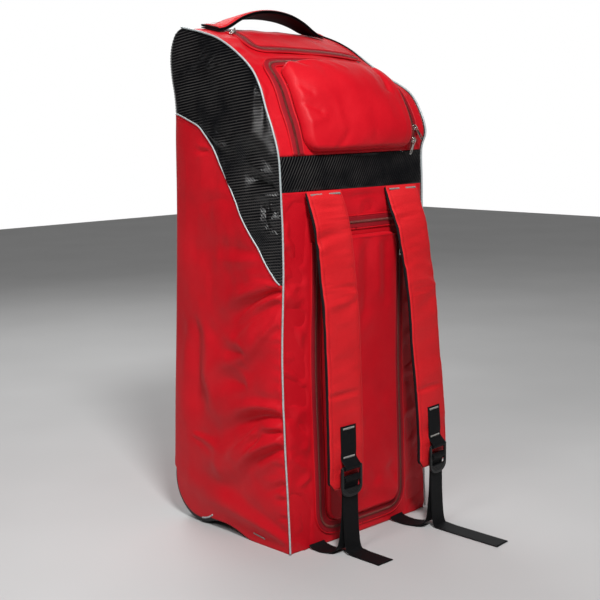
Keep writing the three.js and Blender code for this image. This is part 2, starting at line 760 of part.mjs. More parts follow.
const zipLift = gap + 0.5;
const topZipEnd = handleHeight - handleWidth / 2 - handleToZip;
const spot = (x, y) => new THREE.Vector2(x, y);
const upperZipX = upperPocketHalfWidth + zipWidth / 2 + zipClear;
const upperZipTop = upperPocketTop + zipWidth / 2 + zipClear;
const lowerZipX = lowerPocketHalfWidth + zipWidth / 2 + zipClear;
const lowerZipBottom = lowerPocketBottom - zipWidth / 2 - zipClear;
const upperZipFoot = bandTop + upperPocketSeam / 3;
const lowerZipEnd = lowerPocketTop - upperPocketSeam;
const zipSpread = upperPocketHalfWidth / 32;
const upperZip = roundedPath([
  spot(-upperZipX, upperZipFoot), spot(-upperZipX - zipSpread, upperZipTop), spot(upperZipX, upperZipTop),
  spot(upperZipX + zipSpread, upperZipFoot)], pocketCornerRadius);
const topZipSag = zipWidth / 4;
const topZip = roundedPath([
  spot(topZipLeft + topZipTurnIn, topZipEnd), spot(topZipLeft, topZipHeight),
  spot(topZipLeft / 12, topZipHeight - topZipSag), spot(topZipRight, topZipHeight + topZipSag)], pocketCornerRadius);
const lowerZip = roundedPath([
  spot(-lowerZipX, lowerZipEnd), spot(-lowerZipX, lowerZipBottom), spot(lowerZipX, lowerZipBottom),
  spot(lowerZipX, lowerZipEnd)], pocketCornerRadius * 1.5);
const slotZip = roundedPath([
  spot(-slotZipHalfLength, slotZipHeight), spot(0, slotZipHeight), spot(slotZipHalfLength, slotZipHeight),
], zipWidth / 2);
add('upper_pocket_zip', zipStrip(upperZip, 34, zipLift), zipTape);
add('top_zip', zipStrip(topZip, 22, zipLift), zipTape);
add('lower_pocket_zip', zipStrip(lowerZip, 36, zipLift), zipTape);
add('slot_zip', zipStrip(slotZip, 6, zipLift), zipTape);

// A strip of webbing along a line of points [x, y, z]. The twist turns its width back from X.
function webbingStrip(points, twist) {
  const curve = smoothCurve(points.map((point) => new THREE.Vector3(...point)));
  const at = (u, v, lift) => {
    const point = curve.getPoint(v);
    const along = curve.getTangent(v);
    const normal = new THREE.Vector3(0, -along.z, along.y).normalize();
    point.x += (u - 0.5) * webbingWidth;
    point.y += (u - 0.5) * webbingWidth * twist;
    return point.addScaledVector(normal, lift);
  };
  return sheet(at, 1, (points.length - 1) * 2, webbingThickness / 2, -webbingThickness / 2);
}

// Shoulder straps with their buckles, adjuster webbing and loose tails
function makeStrap(label, centreX, rows, tailLength, twistDegrees) {
  const twist = Math.tan(THREE.MathUtils.degToRad(twistDegrees));
  const top = bandBottom - 1;
  const length = top - strapEnd;
  const clear = strapThickness / 2 * sewnShare + gap * 3;
  const innerX = Math.sign(centreX) * (Math.abs(centreX) - strapWidth / 2);
  const strapPlace = (down) => {
    const share = THREE.MathUtils.clamp(down, 0, 1);
    const cloths = frontPoint(innerX, top - length * down, 0);
    const off = clear + readRow(rows, 'down', 'off', share) * strapWidth;
    const aside = readRow(rows, 'down', 'aside', share) * strapWidth;
    return new THREE.Vector3(centreX + aside, cloths.y - off, top - length * down);
  };
  const line = smoothCurve(rows.map((row) => strapPlace(row.down)));
  const strapAt = (u, v, lift) => {
    const point = line.getPoint(v);
    const along = line.getTangent(v);
    const fromEnd = point.z - strapEnd;
    const chamfer = Math.max(0, strapThickness * 1.4 - fromEnd) * 0.8;
    const sewn = Math.min(1, sewnShare + v * 8);
    const flat = 1 - 0.5 * Math.abs(u * 2 - 1) ** 4;
    const blunt = Math.min(1, 0.5 + fromEnd / strapThickness);
    const normal = new THREE.Vector3(0, along.z, -along.y).normalize();
    const off = (u - 0.5) * (strapWidth - chamfer * 2);
    point.x += off;
    point.y += off * twist * THREE.MathUtils.smoothstep(v, 0.06, 0.4);
    return point.addScaledVector(normal, lift * sewn * flat * blunt);
  };
  add(`shoulder_strap_${label}`, sheet(strapAt, 4, 18, strapThickness / 2, -strapThickness / 2), strapRed);

  // Buckle: a flat frame with two slots and a lip, in front of the strap's end
  const buckleTop = strapEnd + buckleOverlap;
  const atHeight = (z) => strapPlace((top - z) / length);
  const strapFront = atHeight(strapEnd).y - strapThickness / 2;
  const buckleY = strapFront - webbingThickness - gap * 2 - loopSlack - buckleThickness / 2;
  const buckleX = atHeight(buckleTop).x;
  const waist = -buckleHeight * 0.7;
  const frame = new THREE.Shape([
    spot(-buckleWidth / 2, 0), spot(-buckleWidth / 2, waist), spot(-buckleWidth * 0.3, -buckleHeight),
    spot(buckleWidth * 0.3, -buckleHeight), spot(buckleWidth / 2, waist), spot(buckleWidth / 2, 0)]);
  const slotHalf = buckleWidth / 2 - buckleRail;
  const slotTall = (-waist - buckleBar * 2) / 2;
  const plate = new THREE.ExtrudeGeometry(frame, { depth: buckleThickness, bevelEnabled: false });
  const slots = [0, 1].map((n) => {
    const slot = new THREE.BoxGeometry(slotHalf * 2, slotTall, buckleThickness * 3);
    return slot.translate(0, -buckleBar - n * (slotTall + buckleBar) - slotTall / 2, 0);
  });
  const buckle = subtract(plate, ...slots);
  buckle.rotateX(Math.PI / 2);
  buckle.rotateZ(Math.atan(twist));
  buckle.translate(buckleX, buckleY + buckleThickness / 2, buckleTop);
  add(`ladder_lock_${label}`, buckle, plastic);

  // Sewn webbing that runs down the strap, in front of the top bar, round it and back up behind it
  const clearBar = buckleThickness / 2 + webbingThickness / 2 + gap * 2;
  const barZ = buckleTop - buckleBar / 2;
  const under = buckleTop - buckleBar - webbingThickness / 2 - gap * 2;
  const strapFace = (z) => atHeight(z).y - strapThickness / 2 - webbingThickness / 2 - loopGap;
  const loop = [];
  const loopFoot = buckleTop + buckleBar * 2.4;
  for (const share of [1, 0.75, 0.5, 0.25, 0]) {
    const z = loopFoot + (loopTop - loopFoot) * share;
    loop.push([buckleX, strapFace(z), z]);
  }
  loop.push([buckleX, buckleY - clearBar, barZ + 3]);
  loop.push([buckleX, buckleY - clearBar * 0.8, under + 0.6]);
  loop.push([buckleX, buckleY, under - 0.6]);
  loop.push([buckleX, buckleY + clearBar * 0.8, under + 0.6]);
  loop.push([buckleX, buckleY + clearBar, barZ + 2]);
  add(`buckle_loop_${label}`, webbingStrip(loop, twist), webbing);

  // One webbing: base seam, slack on the floor, up behind the buckle, over its middle bar, down as a loose tail
  const floorZ = webbingThickness / 2 + gap * 2;
  const rootX = buckleX - slackShift;
  const seamY = frontPoint(rootX, 4, 0).y - Math.abs(twist) * webbingWidth * 0.4;
  const barMid = buckleTop - buckleBar * 1.5 - slotTall;
  const lip = buckleTop - buckleHeight;
  const barHalf = buckleBar / 2;
  const turn = webbingThickness / 2 + gap * 3;
  const tailY = buckleY + clearBar + gap;
  const risingY = tailY + webbingThickness + gap * 3;
  const bend = webbingWidth * 0.55;
  const rest = tailLength - lip;
  const route = [
    [rootX, seamY - webbingThickness / 2 - gap, floorZ + 6],
    [rootX, seamY - 10, floorZ + 1.5],
    [buckleX - slackShift * 0.9, (seamY + risingY) / 2 - 4, floorZ],
    [buckleX - slackShift * 0.5, risingY + 2, floorZ + 10],
    [buckleX - slackShift * 0.1, risingY + 1, lip * 0.5],
    [buckleX, risingY, lip],
    [buckleX, risingY, barMid - barHalf - slotTall],
    [buckleX, risingY - 1, barMid - barHalf],
    [buckleX, buckleY + clearBar, barMid + barHalf],
    [buckleX, buckleY + buckleThickness / 2, barMid + barHalf + turn],
    [buckleX, buckleY - buckleThickness / 2, barMid + barHalf + turn],
    [buckleX, buckleY - clearBar, barMid + barHalf],
    [buckleX, buckleY - clearBar, barMid - barHalf],
    [buckleX, buckleY - buckleThickness / 4, barMid - barHalf - turn * 1.6],
    [buckleX, tailY - gap, barMid - barHalf - slotTall * 0.72],
    [buckleX, tailY, lip + barHalf],
    [buckleX, tailY, lip - barHalf],
    [buckleX, tailY - 1, lip * 0.55],
    [buckleX, tailY - bend * 0.3, bend * 0.45],
    [buckleX, tailY - bend, floorZ + 1],
    [buckleX, tailY - bend - (rest - bend) * 0.5, floorZ],
    [buckleX, tailY - bend - (rest - bend), floorZ],
  ];
  add(`adjuster_webbing_${label}`, webbingStrip(route, twist), webbing);
}

makeStrap('left', leftStrapX, leftStrapRows, leftTailLength, 0);
makeStrap('right', rightStrapX, rightStrapRows, rightTailLength, strapTwist);

// Carrying handle: an arched grip with a webbing under it, both sewn to the top cloth at their ends
const handleRows = [
  { across: -1.00, up: 0.00 },
  { across: -0.90, up: 0.00 },
  { across: -0.78, up: 0.14 },
  { across: -0.58, up: 0.55 },
  { across: -0.32, up: 0.88 },
  { across: 0.00, up: 1.00 },
  { across: 0.32, up: 0.88 },
  { across: 0.58, up: 0.55 },
  { across: 0.78, up: 0.14 },
  { across: 0.90, up: 0.00 },
  { across: 1.00, up: 0.00 },
];
const handleLine = smoothCurve(handleRows.map((row) => (
  new THREE.Vector3(row.across * handleHalfSpan, 0, Math.max(0, row.up) * handleRise))));

function handleAt(u, v, lift) {
  const line = handleLine.getPoint(v);
  const along = handleLine.getTangent(v);
  const seat = gap * 2 + handleBacking;
  const point = frontPoint(line.x, handleHeight + (u - 0.5) * handleWidth, seat);
  point.x -= along.z * lift;
  point.z += Math.max(0, line.z) + along.x * lift;
  return point;
}

const handleSteps = 18;
add('handle_grip', sheet(handleAt, 2, handleSteps, gap + handleThickness, gap), strapRed);
add('handle_backing', sheet(handleAt, 1, handleSteps, 0, -handleBacking), webbing);

// Zip sliders, each with a bail that carries its pull. The pull turns in the bail, about the slider's width.
const postX = sliderLength * 0.32;
const pivotLift = sliderThickness + bailRoom / 2 + 0.1;
const bailInside = sliderThickness + bailRoom;
const pullWindow = postX + bailPost + bailWidth;
const pullInside = bailWidth / 2 + pullPlay;

function sliderBody() {
  const body = new THREE.BoxGeometry(sliderLength, sliderWidth, sliderThickness);
  body.translate(0, 0, sliderThickness / 2);
  const bailFoot = sliderThickness / 3;
  const bail = new THREE.BoxGeometry(postX * 2 + bailPost, bailWidth, bailInside + bailThickness - bailFoot);
  bail.translate(0, 0, (bailInside + bailThickness + bailFoot) / 2);
  const window = new THREE.BoxGeometry(postX * 2 - bailPost, bailWidth * 2, bailInside - sliderThickness);
  window.translate(0, 0, (bailInside + sliderThickness) / 2);
  return subtract(join(body, bail), window);
}

function pullPlate() {
  const edge = pullWidth / 2;
  const taper = pullWidth / 4;
  const outline = new THREE.Shape([
    spot(-pullBar, -edge), spot(pullLength - taper, -edge), spot(pullLength, -edge + taper),
    spot(pullLength, edge - taper), spot(pullLength - taper, edge), spot(-pullBar, edge)]);
  const plate = new THREE.ExtrudeGeometry(outline, { depth: pullThickness, bevelEnabled: false });
  plate.translate(0, 0, -pullThickness / 2);
  const window = new THREE.BoxGeometry(pullWindow - pullBar, pullInside * 2, pullThickness * 3);
  window.translate((pullWindow + pullBar) / 2, 0, 0);
  return subtract(plate, window);
}

// Places are x and height on the cloth. The turn is the way that the pull points, from +X towards the top, and
// the droop is how far it leans down towards the cloth, both in degrees.
const upperSliderX = upperZipX + zipSpread * 0.9;
const sliderRows = [
  { zip: 'top_zip', x: topZipLeft * 0.9, height: topZipEnd - sliderLength * 0.73, turn: -148, droop: 9 },
  { zip: 'upper_pocket_zip_a', x: upperSliderX, height: bandTop + pullLength * 1.6, turn: -52, droop: 2 },
  { zip: 'upper_pocket_zip_b', x: upperSliderX, height: bandTop + pullLength * 0.8, turn: -93, droop: 0 },
  { zip: 'slot_zip', x: sliderLength * 1.1 - slotZipHalfLength, height: slotZipHeight, turn: 0, droop: 8 },
  { zip: 'lower_pocket_zip', x: lowerZipX, height: lowerPocketTop - pullLength * 0.7, turn: -90, droop: 8 },
];

for (const row of sliderRows) {
  const turn = THREE.MathUtils.degToRad(row.turn);
  const lift = zipLift + zipThickness + gap * 1.5;
  const seat = frontPoint(row.x, row.height, lift);
  const ahead = frontPoint(row.x + Math.cos(turn), row.height + Math.sin(turn), lift).sub(seat).normalize();
  const aside = frontPoint(row.x - Math.sin(turn), row.height + Math.cos(turn), lift).sub(seat);
  const up = ahead.clone().cross(aside).normalize();
  aside.copy(up).cross(ahead);
  const frame = new THREE.Matrix4().makeBasis(ahead, aside, up).setPosition(seat);
  const slider = add(`${row.zip}_slider`, sliderBody(), nickel);
  slider.applyMatrix4(frame);
  const pull = add(`${row.zip}_pull`, pullPlate(), nickel);
  pull.rotateY(THREE.MathUtils.degToRad(row.droop));
  pull.position.z = pivotLift;
  pull.applyMatrix4(frame);
}

// The origin is on the floor, below the middle of the whole.
const bounds = new THREE.Box3().setFromObject(bag);
const centre = bounds.getCenter(new THREE.Vector3());
bag.position.set(-centre.x, -centre.y, -bounds.min.z);

export default bag;
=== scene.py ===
# Looks of the wheeled duffel bag: every soft piece as a modelled mesh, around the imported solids.
# Metres. X runs across the bag, the pocket side faces -Y, +Z is up, and the floor is z = 0.
import math

import bpy
import numpy as np
from mathutils import Matrix, Vector

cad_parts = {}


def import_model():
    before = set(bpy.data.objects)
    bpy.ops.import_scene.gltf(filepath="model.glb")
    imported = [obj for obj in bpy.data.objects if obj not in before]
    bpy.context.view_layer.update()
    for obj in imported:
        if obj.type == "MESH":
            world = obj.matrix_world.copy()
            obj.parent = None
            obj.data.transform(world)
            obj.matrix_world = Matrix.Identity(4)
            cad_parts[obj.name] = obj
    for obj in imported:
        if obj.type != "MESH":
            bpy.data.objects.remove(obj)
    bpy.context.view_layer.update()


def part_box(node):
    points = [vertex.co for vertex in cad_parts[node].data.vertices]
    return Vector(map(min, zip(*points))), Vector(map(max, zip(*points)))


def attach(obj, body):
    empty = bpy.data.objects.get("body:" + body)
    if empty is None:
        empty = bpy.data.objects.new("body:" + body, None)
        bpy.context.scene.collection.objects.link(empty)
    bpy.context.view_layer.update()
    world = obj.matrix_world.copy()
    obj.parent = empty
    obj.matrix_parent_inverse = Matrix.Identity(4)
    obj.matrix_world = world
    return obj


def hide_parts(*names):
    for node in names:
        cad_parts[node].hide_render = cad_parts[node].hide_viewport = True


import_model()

# Body
BODY_WIDTH = 0.360
BODY_DEPTH = 0.300
BODY_HEIGHT = 0.920
CLOTH = 0.002
GAP = 0.0003
SIDE_BULGE = 0.013
CARBON_TIP = 0.474
CARBON_REAR = 0.769
TOP_CORNER = 0.800

# Band, pockets and zips, heights along the front cloth from the floor
BAND_BOTTOM = 0.634
BAND_TOP = 0.695
UPPER_HALF = 0.126
UPPER_RISE = 0.020
POCKET_SEAM = 0.006
LOWER_HALF = 0.094
LOWER_BOTTOM = 0.040
LOWER_RISE = 0.009
POCKET_CORNER = 0.026
POCKET_SEAT = 0.0008
ZIP_WIDTH = 0.022
ZIP_THICK = 0.0016
ZIP_CLEAR = 0.0025
ZIP_LIFT = GAP + 0.0005
SLOT_DROP = 0.060
SLOT_ABOVE_POCKET = 0.011
SLOT_HALF = 0.108
TOP_ZIP_BELOW_HANDLE = 0.092
TOP_ZIP_ABOVE_POCKET = 0.060
TOP_ZIP_TURN_IN = 0.014
TOP_ZIP_LEFT = -0.132
TOP_ZIP_RIGHT = 0.152
SLIDER_LENGTH = 0.011
SLIDER_WIDTH = 0.009
SLIDER_THICK = 0.003
PULL_LENGTH = 0.028
PULL_WIDTH = 0.008
PULL_THICK = 0.0014

# Piping, straps, webbing, handle, wheels
PIPE_RADIUS = 0.0024
PIPE_GAP = 0.00125
SEAM_PIPE_RADIUS = 0.0018
SEAM_PIPE_GAP = 0.0008
STRAP_WIDTH = 0.084
STRAP_THICK = 0.010
STRAP_END = 0.116
SEWN_SHARE = 0.45
STRAP_TWIST = 6.0
WEB_WIDTH = 0.038
WEB_THICK = 0.0016
BUCKLE_WIDTH = 0.052
BUCKLE_HEIGHT = 0.056
BUCKLE_THICK = 0.004
BUCKLE_RAIL = 0.0055
BUCKLE_BAR = 0.005
LOOP_TOP = 0.228
LOOP_SLACK = 0.004
LOOP_GAP = 0.0014
BUCKLE_OVERLAP = 0.042
SLACK_SHIFT = 0.026
HANDLE_WIDTH = 0.046
HANDLE_THICK = 0.005
HANDLE_BACKING = 0.0025
HANDLE_HALF = 0.138
HANDLE_RISE = 0.026
HANDLE_Y = 0.080
HANDLE_TO_ZIP = 0.009
WHEEL_RADIUS = 0.048
WHEEL_WIDTH = 0.026
TYRE_THICK = 0.009
WHEEL_Y = 0.119
WHEEL_X = 0.150
HOUSING_RADIUS = 0.075
HOUSING_Y = 0.093
HOUSING_Z = 0.077
HOUSING_EDGE = 0.009
RIB_PITCH = 0.0050
RIB_HEIGHT = 0.00030
RIB_TILT = math.radians(7)
BAND_TILT = math.radians(60)
WAVE_UNIT = 20.0

# The body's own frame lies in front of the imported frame's: both are measured at a wheel.
wheel_low, wheel_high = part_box("wheel_tyre_left")
SHIFT = Vector((0.0, (wheel_low[1] + wheel_high[1]) / 2 - WHEEL_Y, 0.0))
SHIFT_Y = SHIFT.y

# Columns: y and crown are shares of the depth, z of the height, for the left and the right front seam.
front_seam_rows = np.array([
    (-0.523, 0.000, -0.523, 0.000, 0.010),
    (-0.510, 0.109, -0.510, 0.109, 0.025),
    (-0.495, 0.205, -0.500, 0.205, 0.033),
    (-0.483, 0.326, -0.490, 0.326, 0.033),
    (-0.487, 0.416, -0.490, 0.416, 0.033),
    (-0.500, 0.492, -0.493, 0.492, 0.033),
    (-0.507, 0.585, -0.497, 0.585, 0.033),
    (-0.497, 0.689, -0.497, 0.689, 0.035),
    (-0.483, 0.754, -0.493, 0.756, 0.045),
    (-0.437, 0.803, -0.527, 0.793, 0.050),
    (-0.393, 0.836, -0.483, 0.835, 0.050),
    (-0.343, 0.880, -0.393, 0.872, 0.050),
    (-0.270, 0.915, -0.220, 0.902, 0.048),
    (-0.140, 0.947, -0.050, 0.933, 0.042),
    (0.010, 0.973, 0.100, 0.963, 0.036),
    (0.167, 0.988, 0.223, 0.981, 0.030),
    (0.347, 1.000, 0.347, 0.994, 0.020),
])
back_rows = [
    (0.360, 0.999), (0.412, 0.990), (0.453, 0.968), (0.470, 0.940), (0.462, 0.905),
    (0.440, 0.868), (0.433, 0.830), (0.440, 0.780), (0.452, 0.640), (0.485, 0.450),
    (0.527, 0.250), (0.545, 0.150), (0.553, 0.100), (0.530, 0.055), (0.480, 0.025),
]
base_rows = [
    (0.470, 0.0200), (0.300, 0.0180), (0.090, 0.0180), (0.020, 0.0165), (-0.060, 0.0110),
    (-0.130, 0.0040), (-0.200, 0.0000), (-0.350, 0.0000), (-0.510, 0.0000),
]
carbon_seam_rows = [
    (-0.467, 0.525), (-0.419, 0.544), (-0.344, 0.579), (-0.266, 0.615), (-0.185, 0.653),
    (-0.103, 0.698), (-0.016, 0.742), (0.045, 0.773), (0.100, 0.792), (0.165, 0.810),
    (0.265, 0.822), (0.372, 0.833),
]
# Columns: from (y, z), to (y, z), width and rise, as shares of the depth and, for z, of the height.
side_fold_rows = [
    (-0.450, 0.500, 0.080, 0.410, 0.075, -0.016),
    (-0.440, 0.450, 0.163, 0.321, 0.085, 0.022),
    (-0.420, 0.380, 0.050, 0.310, 0.080, -0.018),
    (0.223, 0.400, 0.267, 0.270, 0.085, -0.012),
    (-0.445, 0.276, 0.060, 0.207, 0.075, -0.018),
    (-0.443, 0.229, 0.050, 0.138, 0.080, 0.024),
    (-0.440, 0.165, 0.000, 0.095, 0.075, -0.020),
    (0.387, 0.080, -0.470, 0.045, 0.085, 0.020),
    (-0.440, 0.584, 0.237, 0.568, 0.070, -0.010),
    (-0.430, 0.690, -0.250, 0.740, 0.090, -0.016),
    (0.150, 0.905, 0.420, 0.870, 0.090, -0.018),
    (-0.020, 0.800, 0.300, 0.880, 0.100, 0.014),
]
# Columns: share down the strap, off the cloth and aside, as shares of the strap's width.
left_strap_rows = [
    (0.000, 0.000, 0.000), (0.075, 0.165, 0.000), (0.135, 0.260, 0.000), (0.230, 0.345, 0.000),
    (0.310, 0.415, 0.000), (0.390, 0.500, 0.000), (0.530, 0.570, 0.000), (0.680, 0.595, 0.000),
    (0.850, 0.580, 0.000), (1.000, 0.560, 0.000),
]
right_strap_rows = [
    (0.000, 0.000, 0.000), (0.075, 0.165, 0.000), (0.135, 0.310, 0.010), (0.240, 0.440, 0.025),
    (0.340, 0.550, 0.050), (0.410, 0.620, 0.060), (0.560, 0.690, 0.085), (0.720, 0.770, 0.105),
    (0.870, 0.800, 0.120), (1.000, 0.800, 0.120),
]
straps = {
    "left": {"x": -0.092, "rows": left_strap_rows, "tail": 0.185, "twist": 0.0},
    "right": {"x": 0.108, "rows": right_strap_rows, "tail": 0.255, "twist": STRAP_TWIST},
}


# Smooth lines


class Line:
    """A Catmull-Rom line through points."""

    def __init__(self, points):
        self.points = np.array(points, float)

    def at(self, share):
        p = self.points
        last = len(p) - 1
        t = np.clip(np.asarray(share, float), 0, 1) * last
        i = np.minimum(t.astype(int), last - 1)
        w = (t - i)[..., None]
        a, b = p[i], p[i + 1]
        before = np.where((i > 0)[..., None], p[np.maximum(i - 1, 0)], 2 * p[0] - p[1])
        after = np.where((i < last - 1)[..., None], p[np.minimum(i + 2, last)], 2 * p[last] - p[last - 1])
        from_a, to_b = (b - before) / 2, (after - a) / 2
        cubic = 2 * a - 2 * b + from_a + to_b
        square = -3 * a + 3 * b - 2 * from_a - to_b
        return cubic * w ** 3 + square * w ** 2 + from_a * w + a

    def tangent(self, share):
        share = np.asarray(share, float)
        step = 1e-4
        run = self.at(np.minimum(share + step, 1)) - self.at(np.maximum(share - step, 0))
        return run / np.linalg.norm(run, axis=-1, keepdims=True)

    def lengths(self, divisions=1200):
        points = self.at(np.linspace(0, 1, divisions + 1))
        steps = np.linalg.norm(np.diff(points, axis=0), axis=1)
        return np.concatenate([[0], np.cumsum(steps)])

    def even(self, count):
        """Shares of count + 1 points that lie evenly along the line."""
        lengths = self.lengths()
        return np.interp(np.linspace(0, lengths[-1], count + 1), lengths, np.linspace(0, 1, len(lengths)))


def side_line(rows):
    return Line([(0, y * BODY_DEPTH, z * BODY_HEIGHT) for y, z in rows])


def even_points(points, count):
    """count + 1 points evenly along a run of straight pieces."""
    points = np.array(points, float)
    lengths = np.concatenate([[0], np.cumsum(np.linalg.norm(np.diff(points, axis=0), axis=1))])
    places = np.linspace(0, lengths[-1], count + 1)
    return np.stack([np.interp(places, lengths, points[:, k]) for k in range(points.shape[1])], axis=1)


def smooth(x, low, high):
    t = np.clip((np.asarray(x, float) - low) / (high - low), 0, 1)
    return t * t * (3 - 2 * t)


def noise(u, v, seed, octaves=1):
    """Smooth noise from -1 to 1 over two lengths counted in cells."""
    total = 0
    weight = 1.0
    for k in range(octaves):
        lattice = np.random.default_rng(seed + k).uniform(-1, 1, (64, 64))
        i, j = np.floor(u).astype(int), np.floor(v).astype(int)
        a, b = u - i, v - j
        a, b = a * a * (3 - 2 * a), b * b * (3 - 2 * b)
        low = lattice[i % 64, j % 64] * (1 - a) + lattice[(i + 1) % 64, j % 64] * a
        high = lattice[i % 64, (j + 1) % 64] * (1 - a) + lattice[(i + 1) % 64, (j + 1) % 64] * a
        total = total + weight * (low * (1 - b) + high * b)
        weight *= 0.5
        u, v = u * 2.03 + 7.1, v * 2.03 + 3.7
    return total


def creases(u, v, seed):
    """Sharp ridges between soft hollows, from 0 to 1."""
    bend = noise(u * 0.6, v * 0.6, seed + 31)
    return 1 - np.abs(noise(u + bend * 0.7, v + bend * 0.7, seed)) * 2


front_left = Line([(0, r[0] * BODY_DEPTH, r[1] * BODY_HEIGHT) for r in front_seam_rows])
front_right = Line([(0, r[2] * BODY_DEPTH, r[3] * BODY_HEIGHT) for r in front_seam_rows])
front_mean = Line((front_left.points + front_right.points) / 2)
back_line = side_line(back_rows)
base_line = side_line(base_rows)
front_lengths = front_mean.lengths()
FRONT_LENGTH = front_lengths[-1]
INNER_HALF = BODY_WIDTH / 2 - CLOTH - GAP

HANDLE_HEIGHT = FRONT_LENGTH - (front_mean.at(1.0)[1] - HANDLE_Y)
SLOT_HEIGHT = BAND_BOTTOM - SLOT_DROP
LOWER_TOP = SLOT_HEIGHT - ZIP_WIDTH / 2 - SLOT_ABOVE_POCKET
TOP_ZIP_HEIGHT = HANDLE_HEIGHT - HANDLE_WIDTH / 2 - TOP_ZIP_BELOW_HANDLE
TOP_ZIP_END = HANDLE_HEIGHT - HANDLE_WIDTH / 2 - HANDLE_TO_ZIP
UPPER_TOP = TOP_ZIP_HEIGHT - TOP_ZIP_ABOVE_POCKET
UPPER_BOTTOM = BAND_TOP + POCKET_SEAM


def seam_share(height):
    height = np.clip(height, 0, FRONT_LENGTH)
    return np.interp(height, front_lengths, np.linspace(0, 1, len(front_lengths)))


def front_point(x, height, lift=0.0):
    """A point of the front and top cloth, at x and at a height measured along the cloth."""
    x, height, lift = np.broadcast_arrays(*(np.asarray(a, float) for a in (x, height, lift)))
    share = seam_share(height)
    across = (x / BODY_WIDTH + 0.5)[..., None]
    point = front_left.at(share) * (1 - across) + front_right.at(share) * across
    along = front_mean.tangent(share)
    crown = np.interp(share * (len(front_seam_rows) - 1), np.arange(len(front_seam_rows)), front_seam_rows[:, 4])
    rise = crown * BODY_DEPTH * (1 - (2 * x / BODY_WIDTH) ** 2) + lift
    return np.stack([x, point[..., 1] - rise * along[..., 2], point[..., 2] + rise * along[..., 1]], axis=-1)


# Mesh building


def world(points):
    """Points of the body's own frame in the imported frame."""
    return np.asarray(points, float) + np.array([0, SHIFT_Y, 0])


def mesh_piece(name, points, faces, body="bag", materials=(), picks=None, soft=True):
    mesh = bpy.data.meshes.new(name)
    mesh.from_pydata(np.asarray(points, float).tolist(), [], [tuple(f) for f in faces])
    mesh.validate()
    for material in materials:
        mesh.materials.append(material)
    if picks is not None:
        mesh.polygons.foreach_set("material_index", np.asarray(picks, dtype=np.int32))
    mesh.polygons.foreach_set("use_smooth", np.full(len(mesh.polygons), soft))
    mesh.update()
    piece = bpy.data.objects.new(name, mesh)
    bpy.context.scene.collection.objects.link(piece)
    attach(piece, body)
    return piece


def grid_faces(rows, columns, start=0, flip=False):
    """Faces of a grid of rows x columns points."""
    index = np.arange(rows * columns).reshape(rows, columns) + start
    quads = np.stack([index[:-1, :-1], index[:-1, 1:], index[1:, 1:], index[1:, :-1]], axis=-1).reshape(-1, 4)
    return quads[:, ::-1] if flip else quads


def rim_faces(rows, columns, start, second):
    """Faces that join the rims of two grids of the same size."""
    index = np.arange(rows * columns).reshape(rows, columns)
    rim = np.concatenate([index[0, :-1], index[:-1, -1], index[-1, :0:-1], index[:0:-1, 0]])
    on = np.roll(rim, -1)
    return np.stack([rim + start, rim + second, on + second, on + start], axis=-1)


def normals_of(grid):
    """Unit normals of a grid of points."""
    across = np.gradient(grid, axis=1)
    along = np.gradient(grid, axis=0)
    normal = np.cross(across, along)
    return normal / np.maximum(np.linalg.norm(normal, axis=-1, keepdims=True), 1e-12)


def shell(grid, inward):
    """A closed sheet: the outer grid and the same grid moved inward by a vector for each point."""
    rows, columns = grid.shape[:2]
    count = rows * columns
    points = np.concatenate([grid.reshape(-1, 3), (grid + inward).reshape(-1, 3)])
    faces = np.concatenate([
        grid_faces(rows, columns), grid_faces(rows, columns, count, flip=True), rim_faces(rows, columns, 0, count)])
    return points, faces


def tube_mesh(points, radius, sides=10, flat=1.0, up=None):
    """Points and faces of a closed tube. radius is one number or one for each point."""
    points = np.asarray(points, float)
    run = np.gradient(points, axis=0)
    run /= np.maximum(np.linalg.norm(run, axis=1, keepdims=True), 1e-12)
    up = np.array([1.0, 0, 0]) if up is None else np.asarray(up, float)
    aside = np.cross(run, up)
    aside /= np.maximum(np.linalg.norm(aside, axis=1, keepdims=True), 1e-9)
    over = np.cross(aside, run)
    radius = np.broadcast_to(np.asarray(radius, float), (len(points),))
    turn = np.arange(sides) * 2 * math.pi / sides
    ring = (aside[:, None] * np.cos(turn)[None, :, None] + over[:, None] * np.sin(turn)[None, :, None] * flat)
    grid = points[:, None] + ring * radius[:, None, None]
    count = len(points)
    index = np.arange(count * sides).reshape(count, sides)
    quads = np.stack([
        index[:-1], np.roll(index[:-1], -1, axis=1), np.roll(index[1:], -1, axis=1), index[1:]], axis=-1)
    faces = [tuple(q) for q in quads.reshape(-1, 4)]
    faces.append(tuple(index[0][::-1]))
    faces.append(tuple(index[-1]))
    return grid.reshape(-1, 3), faces


def joined(parts):
    """One mesh from many (points, faces)."""
    points, faces, start = [], [], 0
    for some, quads in parts:
        points.append(some)
        faces.extend([tuple(int(k) + start for k in face) for face in quads])
        start += len(some)
    return np.concatenate(points), faces


BOX_CORNERS = np.array([
    (-1, -1, -1), (1, -1, -1), (1, 1, -1), (-1, 1, -1), (-1, -1, 1), (1, -1, 1), (1, 1, 1), (-1, 1, 1)]) / 2.0
BOX_FACES = [(0, 3, 2, 1), (4, 5, 6, 7), (0, 1, 5, 4), (1, 2, 6, 5), (2, 3, 7, 6), (3, 0, 4, 7)]


def boxes(centres, along, aside, up, size):
    """Many small boxes: centres and directions are arrays, and size is their (along, aside, up)."""
    corner = BOX_CORNERS[None]
    points = (centres[:, None] + corner[..., 0:1] * along[:, None] * size[0]
              + corner[..., 1:2] * aside[:, None] * size[1] + corner[..., 2:3] * up[:, None] * size[2])
    faces = np.array(BOX_FACES)[None] + (np.arange(len(centres)) * 8)[:, None, None]
    return points.reshape(-1, 3), faces.reshape(-1, 4)


STITCH_SHAPE = np.array([(-0.5, 0.0), (-0.36, 1.0), (0.36, 1.0), (0.5, 0.0)])


